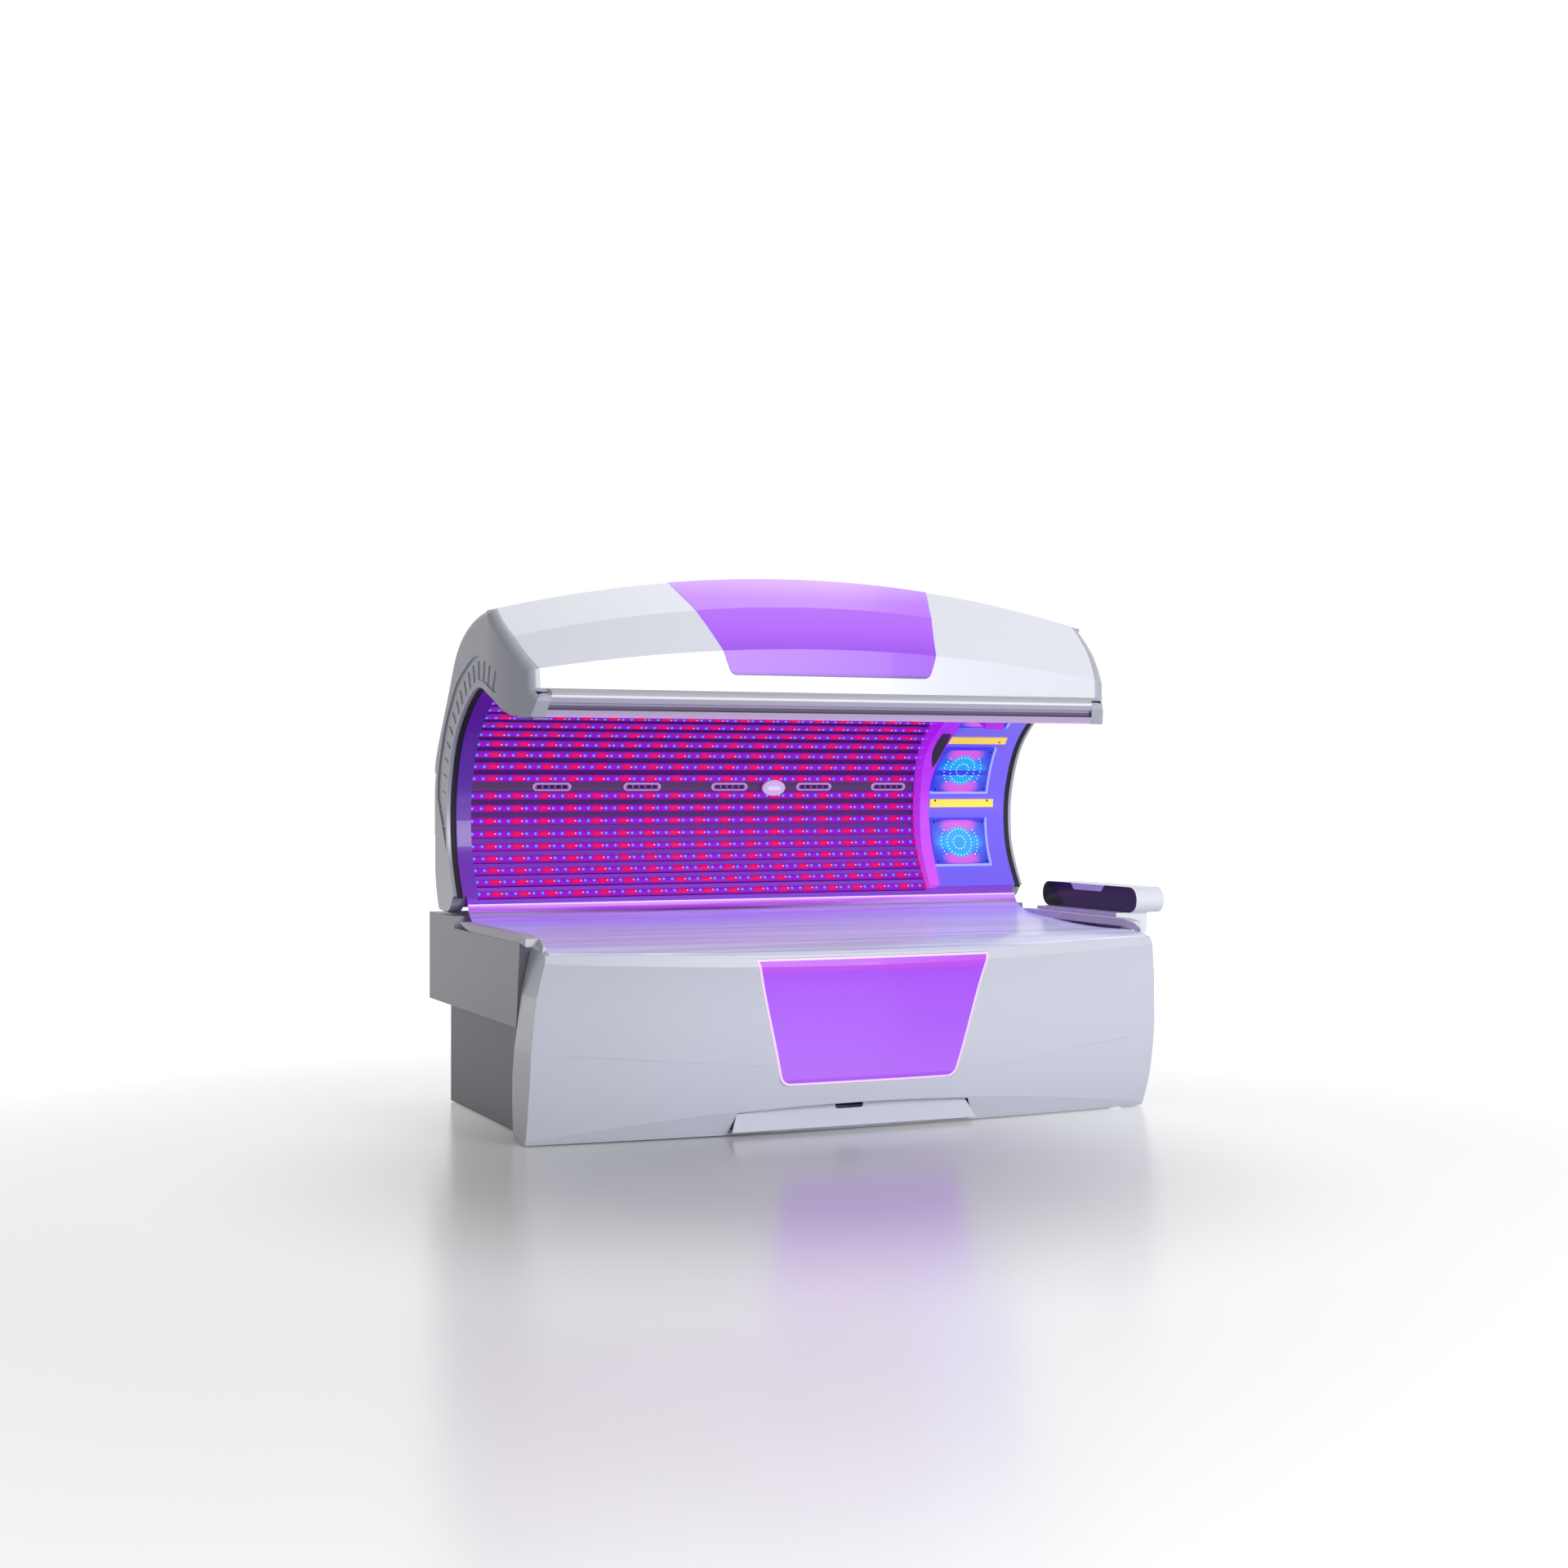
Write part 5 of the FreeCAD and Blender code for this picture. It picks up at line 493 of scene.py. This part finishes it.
# Gloss ABS, magenta in painted light of the rows beside it, palest at its foot.
fin = lit_moulding("gloss_fin_painted_magenta_light", "#8a3ab0", 0.2,
                   [(0.0, "#d050dc"), (0.30, "#c03ce0"), (1.0, "#a400e4")], 0.8, fin_z)
dress(lining, "canopy_liner")
dress(holder, "bar_holders", "bench_holders")
dress(channel, "air_channel")
dress(fin, "speaker_fin")
print("lining lit over", round((tunnel_z[1] - tunnel_z[0]) * 1000), "mm of height")

# %% [markdown]
# ### Nozzles, keypad and grille
# Along the channel sit five air nozzles with gloss bezels and an oval keypad with one bar button. They
# are small white or lilac mouldings, so the violet on them is light and not paint, painted into their
# glow here; a white finish under violet lamps would do it too, but only with many more rays. The
# speaker's grille is a perforated steel sheet: a regular cell pattern at the real 3 mm pitch draws its holes.

# %% Finishes of the channel's fittings
nozzle_z, keypad_z, button_z = (1.06, 1.10), (1.04, 1.11), (1.05, 1.09)      # heights in metres
hole_pitch_mm = 3.0
# Gloss and satin ABS mouldings: a lilac rim, a plum barrel, pearl and white keys, each with a painted violet
# glow for the light of the rows.
bezel = lit_moulding("gloss_bezel_lilac", "#b9a2c6", 0.2, [(0.0, "#b070c0"), (1.0, "#c890dc")], 0.45, nozzle_z)
nozzle = lit_moulding("nozzle_moulding", "#8a6f9c", 0.4, [(0.0, "#4a1c60"), (1.0, "#5a2870")], 0.5, nozzle_z)
keypad = lit_moulding("keypad_gloss_pearl", "#d9cde6", 0.2, [(0.0, "#b090c8"), (1.0, "#c8a8dc")], 0.35,
                      keypad_z)
button = lit_moulding("button_gloss_white", "#f0eaf6", 0.15, [(0.0, "#d0b8e4"), (1.0, "#dcc8ee")], 0.4,
                      button_z)
# Perforated steel sheet, black: dull, with the holes darker than the lands between them.
mesh_cloth = surface("perforated_speaker_mesh", "#1a1320", 0.5, 2.5, 0.3, 0.3)
holes = add(mesh_cloth, "TexVoronoi", add(mesh_cloth, "TexCoord").outputs["Object"],
            Scale=1000.0 / hole_pitch_mm, Randomness=0.0)
fill(mesh_cloth.node_tree.nodes["Principled BSDF"], Base_Color=add(
    mesh_cloth, "ValToRGB", holes.outputs["Distance"],
    stops=[(0.0, "#050308"), (0.45, "#0b0610"), (0.75, "#6a5a78")]))
dress(bezel, "nozzle_bezels")
dress(nozzle, "air_nozzle_1", "air_nozzle_2", "air_nozzle_3", "air_nozzle_4", "air_nozzle_5")
dress(keypad, "keypad_housing")
dress(button, "keypad_button")
dress(mesh_cloth, "speaker_grille")
print("grille holes every", hole_pitch_mm, "mm")

# %% [markdown]
# ### The facial panel, its trays and the yellow clamps
# At the head end a curved panel holds three square lamp trays with two yellow bars between them. The
# trays' rims catch the light as a pale line at their right and under them. A modelled bevel would be
# less than a pixel wide, so this painted highlight is placed by distance from the tray's own edges. The
# panel, the trays and the clamps also carry a painted glow for the light of the lamps.

# %% Finishes at the head end
tray_rim = 0.008                     # width of a tray's rim
foot_line, line_edge, side_edge = 0.0095, 0.001, 0.0006
panel_z, tray_z = (0.75, 1.38), (0.80, 1.35)
piece_gap = 0.055                    # a gap in height that separates one tray or clamp from the next


def by_height(points):
    """The points of a row of pieces, as one array for each piece, lowest first."""
    points = points[np.argsort(points[:, 2])]
    return np.split(points, np.flatnonzero(np.diff(points[:, 2]) > piece_gap) + 1)


trays = by_height(corners("facial_modules"))
# Gloss sheet in blue-violet, and the trays' moulded blue, both lit by the lamps that they carry: their glow is
# painted light, a little brighter higher up.
facial = lit_moulding("facial_panel_blue_violet", "#6a58c8", 0.2,
                      [(0.0, "#5a48d8"), (0.5, "#6a58e8"), (1.0, "#7a68f0")], 0.6, panel_z)
module = lit_moulding("lamp_module_blue", "#2a2a90", 0.15, [(0.0, "#3438e0"), (1.0, "#3a3ae8")], 0.8, tray_z)
shader = module.node_tree.nodes["Principled BSDF"]
blue = shader.inputs["Emission Color"].links[0].from_socket
x, _, z = add(module, "SeparateXYZ", add(module, "TexCoord").outputs["Object"]).outputs
# A painted highlight: a pale line along the trays' right rim and one near the foot of the two lowest trays.
right_rim = float(max(tray[:, 0].max() for tray in trays)) - tray_rim
pale = add(module, "MapRange", x, right_rim - side_edge, right_rim + side_edge, interpolation_type="SMOOTHSTEP")
for tray in trays[:2]:
    above = add(module, "Math", z, float(tray[:, 2].min()), operation="SUBTRACT")
    under = add(module, "MapRange", add(module, "Math", above, operation="ABSOLUTE"), foot_line + line_edge,
                foot_line - line_edge, interpolation_type="SMOOTHSTEP")
    pale = add(module, "Math", pale, under, operation="MAXIMUM")
fill(shader, Emission_Color=add(module, "Mix", pale, blue, "#b8c4ff", data_type="RGBA"))
# Gloss yellow lacquer on steel: it keeps its own colour in all the violet, so a little painted glow in its own
# yellow stands for the light on it.
clamp = surface("yellow_clamp_gloss", "#f2d24a", 0.25, 1.5, 0.02, 0.03, coat=0.4)
fill(clamp.node_tree.nodes["Principled BSDF"], Emission_Color="#f2d24a", Emission_Strength=0.6)
dress(facial, "facial_panel")
dress(module, "facial_modules")
dress(clamp, "facial_clamps")
print(len(trays), "trays, their feet at", [round(float(tray[:, 2].min()), 4) for tray in trays], "m")

# %% [markdown]
# ### Faces of the facial lamps
# Each lamp is a shallow tray with a curved floor. Over the floor lies a lit sheet, blue with a cyan middle
# and a pink patch above and below. On it stand small round diodes: a ring of 14, a ring of 24, and an arc of
# eight at either side. They could be painted on, but a dome takes the light at every angle of view and
# stays sharp, so they are made. Black countersunk screws hold each tray at its corners and each yellow
# clamp at its ends.

# %% Where the trays' floors run
def tray_floors(trays, rim):
    """For each tray: inner ends in X, then centre, angles and radii of its floor in its own section.

    A circle through the tray's inner edges has its centre where 2 y b + 2 z c + d = y y + z z holds best. The
    floor is the part of those edges that lies further from the centre.
    """
    floors = []
    for tray in trays:
        left, right = tray[:, 0].min() + rim, tray[:, 0].max() - rim
        edge = np.unique(np.round(tray[np.abs(tray[:, 0] - left) < 0.0006][:, 1:], 6), axis=0)
        system = np.column_stack([2.0 * edge, np.ones(len(edge))])
        centre = np.linalg.lstsq(system, (edge ** 2).sum(axis=1), rcond=None)[0][:2]
        radius = np.linalg.norm(edge - centre, axis=1)
        angle = np.arctan2(edge[:, 1] - centre[1], edge[:, 0] - centre[0])
        deep = radius > radius.mean()
        order = np.argsort(angle[deep])
        floors.append({"left": left, "right": right, "centre": centre, "angles": angle[deep][order],
                       "radii": radius[deep][order]})
    return floors


def on_floor(floor, angle, rise):
    """Points (Y, Z) above a floor by rise, and the directions up from it there."""
    radius = np.interp(angle, floor["angles"], floor["radii"]) - rise
    out = np.stack([np.cos(angle), np.sin(angle)], axis=-1)
    return floor["centre"] + radius[..., None] * out, -out


def domes(name, centres, up, radius, height, sides=10):
    """One mesh of round domes: rings at 0, 35 and 70 degrees of a half ellipse turned about up, then a pole."""
    along = np.broadcast_to((1.0, 0.0, 0.0), up.shape)
    across = np.cross(up, along)
    turn = np.arange(sides) * 2.0 * math.pi / sides
    rise = np.radians([0.0, 35.0, 70.0])
    flat = radius * (np.cos(turn)[:, None, None] * along + np.sin(turn)[:, None, None] * across)
    rings = centres + np.cos(rise)[:, None, None, None] * flat + height * np.sin(rise)[:, None, None, None] * up
    points = np.concatenate([rings.reshape(-1, len(centres), 3), (centres + height * up)[None]], axis=0)
    points = points.transpose(1, 0, 2).reshape(-1, 3)
    i, j = np.meshgrid(np.arange(2), np.arange(sides), indexing="ij")
    first, second = i * sides + j, i * sides + (j + 1) % sides
    quads = np.stack([first, second, second + sides, first + sides], axis=-1).reshape(-1, 4)
    last = 2 * sides + np.arange(sides)
    fan = np.column_stack([last, 2 * sides + (np.arange(sides) + 1) % sides, np.full(sides, 3 * sides)])
    starts = np.arange(len(centres)) * (3 * sides + 1)
    faces = (starts[:, None, None] + quads).reshape(-1, 4).tolist()
    faces += (starts[:, None, None] + fan).reshape(-1, 3).tolist()
    mesh = bpy.data.meshes.new(name)
    mesh.from_pydata(points.tolist(), [], faces)
    smooth(mesh)
    return mesh


floors = tray_floors(trays, tray_rim)
print("floors mm wide", [round((floor["right"] - floor["left"]) * 1000, 1) for floor in floors])

# %% Finishes of the lit sheet, the diodes and the screws
# Printed blue film under clear acrylic: patches of colour with soft edges, in metres from the middle.
patches = [((0.0, 0.0), (0.100, 0.080), 0.6, "#2a6cf4"), ((0.0, 0.064), (0.066, 0.030), 0.8, "#d858e0"),
           ((0.0, -0.064), (0.066, 0.030), 0.8, "#d858e0"), ((0.0, 0.0), (0.088, 0.036), 0.5, "#12a4fa"),
           ((0.0, 0.0), (0.060, 0.058), 0.25, "#10a6f0"), ((0.0, 0.0), (0.018, 0.018), 0.9, "#08a0ea")]
lamp_face, shader = glowing("lit_lamp_sheet_blue", "#0c1040", 0.4, 1.0)
u, v, _ = add(lamp_face, "SeparateXYZ", add(lamp_face, "UVMap", uv_map="UVMap")).outputs
sheet_colour = "#3238d8"
for centre, half, soft, tone in patches:
    sheet_colour = add(lamp_face, "Mix", spot(lamp_face, u, v, centre, half, soft), sheet_colour, tone,
                       data_type="RGBA")
fill(shader, Emission_Color=sheet_colour)
# Clear epoxy lens over a diode: a hard cyan-white point.
diode, shader = glowing("facial_diode_cyan", "#d8ffff", 0.3, 1.0)
fill(shader, Emission_Color="#a8fffa")
# Blackened steel screw: near black, dull, with a metal edge to its highlight.
black_screw = surface("black_oxide_screw", "#16131c", 0.4, 0.8, 0.01, 0.05, metallic=0.6)
print(len(patches), "patches of colour on each sheet")

# %% Lit sheets and diodes on the floors
sheet_rise, sheet_edge, diode_rise = 0.0006, 0.0001, 0.0005
sheet_lip = 0.0004                   # the sheet's end slopes down over this length
diode_radius, diode_height, diode_margin = 0.0022, 0.0016, 0.004
side_arc = np.radians(np.linspace(-38.0, 38.0, 8))
rings = [(0.025, np.arange(14) * 2.0 * math.pi / 14), (0.050, np.arange(24) * 2.0 * math.pi / 24),
         (0.075, side_arc), (0.075, side_arc + math.pi)]
polar = np.concatenate([np.column_stack([radius * np.cos(turn), radius * np.sin(turn)])
                        for radius, turn in rings])
for number, floor in enumerate(floors, start=1):
    left, right, angles, mean_radius = floor["left"], floor["right"], floor["angles"], floor["radii"].mean()
    middle_x, middle_angle = (left + right) / 2.0, (angles[0] + angles[-1]) / 2.0
    angle = np.linspace(angles[0], angles[-1], 25)
    high, low = on_floor(floor, angle, sheet_rise)[0], on_floor(floor, angle, sheet_edge)[0]
    lines = [(left, low), (left + sheet_lip, high), (right - sheet_lip, high), (right, low)]
    grid = np.stack([np.column_stack([np.full(len(angle), x), section]) for x, section in lines])
    uv = np.stack([np.column_stack([np.full(len(angle), x - middle_x), (angle - middle_angle) * mean_radius])
                   for x, _ in lines])
    sheet_mesh = grid_mesh("lit_lamp_sheet_%d" % number, grid[:, ::-1], uv[:, ::-1])
    place_piece(sheet_mesh, lamp_face, "canopy")
    half_height = (angles[-1] - angles[0]) * mean_radius / 2.0
    shown = polar[np.abs(polar[:, 1]) < half_height - diode_margin]
    spots, up = on_floor(floor, middle_angle + shown[:, 1] / mean_radius, diode_rise)
    centres = np.column_stack([middle_x + shown[:, 0], spots])
    up = np.column_stack([np.zeros(len(up)), up])
    diodes = domes("facial_diodes_%d" % number, centres, up, diode_radius, diode_height)
    place_piece(diodes, diode, "canopy")
    print("lamp", number, "shows", len(shown), "diodes")

# %% Screws of the trays and the clamps
screw_inset, screw_rise, screw_radius, screw_height = 0.010, 0.0004, 0.0042, 0.0016
clamp_left, clamp_right, face_depth = 0.020, 0.026, 0.0015
screw_centres, screw_up = [], []
for floor in floors:
    angles, inset = floor["angles"], screw_inset / floor["radii"].mean()
    spots, up = on_floor(floor, np.array([angles[0] + inset, angles[-1] - inset]), screw_rise)
    for x in (floor["left"] + screw_inset, floor["right"] - screw_inset):
        screw_centres.append(np.column_stack([np.full(2, x), spots]))
        screw_up.append(np.column_stack([np.zeros(2), up]))
for points in by_height(corners("facial_clamps")):
    inward = floors[1]["centre"] - points[:, 1:].mean(axis=0)
    inward = inward / np.linalg.norm(inward)
    depth = points[:, 1:] @ inward
    face = points[depth > depth.max() - face_depth][:, 1:].mean(axis=0)
    for x in (points[:, 0].min() + clamp_left, points[:, 0].max() - clamp_right):
        screw_centres.append(np.array([[x, *(face + screw_rise * inward)]]))
        screw_up.append(np.array([[0.0, *inward]]))
screw_centres, screw_up = np.concatenate(screw_centres), np.concatenate(screw_up)
screws = domes("facial_screws", screw_centres, screw_up, screw_radius, screw_height)
place_piece(screws, black_screw, "canopy")
print(len(screw_centres), "screws")

# %% [markdown]
# ## Lip and bench
# The lip rail is an extruded white moulding. Its grooves show as bands of tone, so bands by height stand for
# the light that each groove catches, as painted light and shade. The bench is a dished acrylic sheet: milky
# white towards the sitter, where it mirrors the room, and violet at the back, where it mirrors the lamp rows.
# True mirror rays would need the whole inside of the canopy, so its colour follows its height instead as a
# painted reflection, with faint long streaks from the drawing of the sheet.

# %% Lip rail and strip
rail_z = [float(corner[2]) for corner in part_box("lip_rail")]
strip_z = [float(corner[2]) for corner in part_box("lip_strip")]
# Extruded PVC, satin white: painted shade under the overhang, a painted highlight line on the nose, grey above.
rail, shader = glowing("lip_rail_satin_white", "#c0c0cc", 0.4, 0.12)
bands = add(rail, "ValToRGB", height_share(rail, *rail_z),
            stops=[(0.0, "#5e566c"), (0.20, "#6a6278"), (0.26, "#aea6c4"), (0.55, "#b4b0c4"), (0.60, "#f4f4fc"),
                   (0.66, "#f4f4fc"), (0.70, "#bcbcc4"), (1.0, "#acacb2")])
fill(shader, Base_Color=bands, Emission_Color=bands, Specular_IOR_Level=0.2)
# The soft strip under it takes the pink of the rows at its lower edge, as painted light.
strip = lit_moulding("lip_strip_lilac", "#b4a6c4", 0.35,
                     [(0.0, "#f070c8"), (0.25, "#a088c0"), (1.0, "#7c6c98")], 0.3, strip_z)
dress(rail, "lip_rail")
dress(strip, "lip_strip")
print("lip rail from", round(rail_z[0], 3), "to", round(rail_z[1], 3), "m up")

# %% Bench: dished acrylic, reflector, bars
seat_z, upstand_z = 0.585, 0.685     # heights in metres: near the seat, and the rear upstand's top
bar_z = (0.45, 0.62)
streak_scale = (0.7, 26.0, 40.0)     # turns per metre: streaks run along X, about 40 mm apart
# Drawn acrylic sheet, milky where it faces the room, in painted reflection of it.
acrylic, shader = glowing("milky_acrylic_bench", "#c8ccdc", 0.25, 0.8)
place = add(acrylic, "TexCoord").outputs["Object"]
rise = height_share(acrylic, seat_z, upstand_z)
streaks = add(acrylic, "TexNoise", add(acrylic, "Mapping", place, Scale=streak_scale), Scale=1.0, Detail=4.0)
# Its base colour runs from pale at the seat to dark violet at the back; the violet is painted reflection of the
# rows.
own = add(acrylic, "ValToRGB", rise, stops=[(0.0, "#ccd0de"), (0.22, "#c0c0d8"), (0.40, "#8880b8"),
                                            (0.62, "#403060"), (1.0, "#54346c")])
# Its glow by height is painted reflection: the room at the seat, the rows further back, a painted dark line low
# on the upstand and a painted highlight along its top.
wash = add(acrylic, "ValToRGB", rise,
           stops=[(0.0, "#84869c"), (0.18, "#7c7c9c"), (0.36, "#6c60b4"), (0.56, "#8a50cc"),
                  (0.66, "#6a3898"), (0.71, "#281444"), (0.76, "#9a2cc4"), (0.93, "#ac3cd0"),
                  (0.965, "#e0a4ee"), (1.0, "#ecb8f4")])
strength = add(acrylic, "MapRange", streaks, 0.35, 0.65, 0.72, 1.10)
pale = add(acrylic, "MapRange", streaks, 0.68, 0.40, interpolation_type="SMOOTHSTEP")
fill(shader, Base_Color=add(acrylic, "Mix", pale, own, "#b2b2ca", data_type="RGBA"), Emission_Color=wash,
     Emission_Strength=strength, Specular_IOR_Level=0.12)
# The bars under the sheet glow a deep violet; the reflector is bright-rolled aluminium, with a painted violet
# tint for their light.
bench_led = lit_moulding("bench_bar_lens", "#2a1c58", 0.15, [(0.0, "#5a30c0"), (1.0, "#6a34d0")], 0.6, bar_z)
reflector = surface("bright_reflector_sheet", "#b8a8d0", 0.12, 30.0, 0.02, 0.03, metallic=1.0)
dress(acrylic, "bench_acrylic")
dress(bench_led, "bench_bars")
dress(reflector, "bench_reflector")
print(len(dressed), "pieces dressed; left over:", sorted(set(nodes) - dressed))

# %% [markdown]
# ## Camera, floor and light
# The camera stands 1.1 m up, to the left of the bed's front, level, with a 51 mm lens. The room is a
# plain pale studio: one broad soft key at the front, a weaker lamp above and behind, and a white
# surround that is dimmer from the left, so that the near end falls into soft shade. A white backdrop
# lit by more lamps would wash the object out. Here the floor and the surround are white only to the
# camera and to mirror and glass rays, so the object is lit at a plain level and keeps its shadow.

# %% Camera
camera = bpy.data.objects.new("camera", bpy.data.cameras.new("camera"))
camera.location = (-3.1035, -6.8815, 1.086)
camera.rotation_euler = (math.radians(90.0), 0.0, math.radians(-23.5))
camera.data.lens = 51.1
camera.data.sensor_width = 36.0
bpy.context.scene.collection.objects.link(camera)
bpy.context.scene.camera = camera
print("camera", round(math.dist(camera.location, (0.0, 0.0, camera.location[2])), 2), "m from the middle")

# %% Floor and surround
floor_half = 40.0
shade_centre = (-0.6, -1.2, 0.0)     # the floor is darkest here, before the bed's toe
near_start, near_end, near_lift = 0.3, 1.8, 0.32
far_end, far_lift = 7.0, 0.68
left_side, left_level = -0.9, 0.05   # the surround's strength to its left, and to its right
right_side, right_level = 0.3, 0.46


def seen_directly(material):
    """1 for rays from the camera and off mirrors or through glass, 0 for rays that light the object."""
    rays = add(material, "LightPath").outputs
    sharp = add(material, "Math", rays["Is Camera Ray"], rays["Is Glossy Ray"], operation="MAXIMUM")
    return add(material, "Math", sharp, rays["Is Transmission Ray"], operation="MAXIMUM")


floor_mesh = bpy.data.meshes.new("floor")
square = [(-floor_half, -floor_half, 0), (floor_half, -floor_half, 0), (floor_half, floor_half, 0),
          (-floor_half, floor_half, 0)]
floor_mesh.from_pydata(square, [], [(0, 1, 2, 3)])
ground = bpy.data.objects.new("floor", floor_mesh)
bpy.context.scene.collection.objects.link(ground)
# A pale lacquered studio floor: a soft mirror under the bed, brightening to white away from it; the darker
# floor before the bed's toe is a painted shadow.
studio, shader = blank("studio_floor")
floor_mesh.materials.append(studio)
place = add(studio, "TexCoord").outputs["Object"]
away = add(studio, "VectorMath", place, shade_centre, operation="DISTANCE")
near = add(studio, "MapRange", away, near_start, near_end, 0.0, near_lift, interpolation_type="SMOOTHSTEP")
far = add(studio, "MapRange", away, near_end, far_end, 0.0, far_lift, interpolation_type="SMOOTHSTEP")
lift = add(studio, "Math", seen_directly(studio), add(studio, "Math", near, far, operation="ADD"),
           operation="MULTIPLY")
fill(shader, Base_Color="#c6c6c8", Roughness=0.22, Emission_Color="#ffffff", Emission_Strength=lift)

world = bpy.data.worlds.new("studio")
bpy.context.scene.world = world
world.use_nodes = True
towards = add(world, "TexCoord").outputs["Generated"]
sideways = add(world, "SeparateXYZ", towards).outputs["X"]
room = add(world, "MapRange", sideways, left_side, right_side, left_level, right_level)
level = add(world, "MapRange", seen_directly(world), 0.0, 1.0, room, 1.0)
fill(world.node_tree.nodes["Background"], Color="#ffffff", Strength=level)
print("floor", 2.0 * floor_half, "m square, white", far_end, "m away")


# %% Lamps
def soft_lamp(name, place, aim, size, power):
    """A square soft lamp at a place, turned to face its aim."""
    lamp = bpy.data.lights.new(name, "AREA")
    lamp.shape = "SQUARE"
    lamp.size = size
    lamp.energy = power
    stand = bpy.data.objects.new(name, lamp)
    stand.location = place
    direction = np.subtract(aim, place)
    spin = math.atan2(direction[0], -direction[1])
    tilt = math.atan2(math.hypot(direction[0], direction[1]), -direction[2])
    stand.rotation_euler = (tilt, 0.0, spin + math.pi)
    bpy.context.scene.collection.objects.link(stand)


soft_lamp("key", place=(1.6, -6.5, 2.6), aim=(0.0, 0.0, 0.8), size=3.0, power=232.0)
soft_lamp("top", place=(0.5, 1.6, 4.6), aim=(0.0, 0.0, 0.4), size=3.0, power=44.0)
bpy.context.scene.view_settings.view_transform = "Standard"
print("lamps", [(lamp.name, lamp.energy) for lamp in bpy.data.lights])
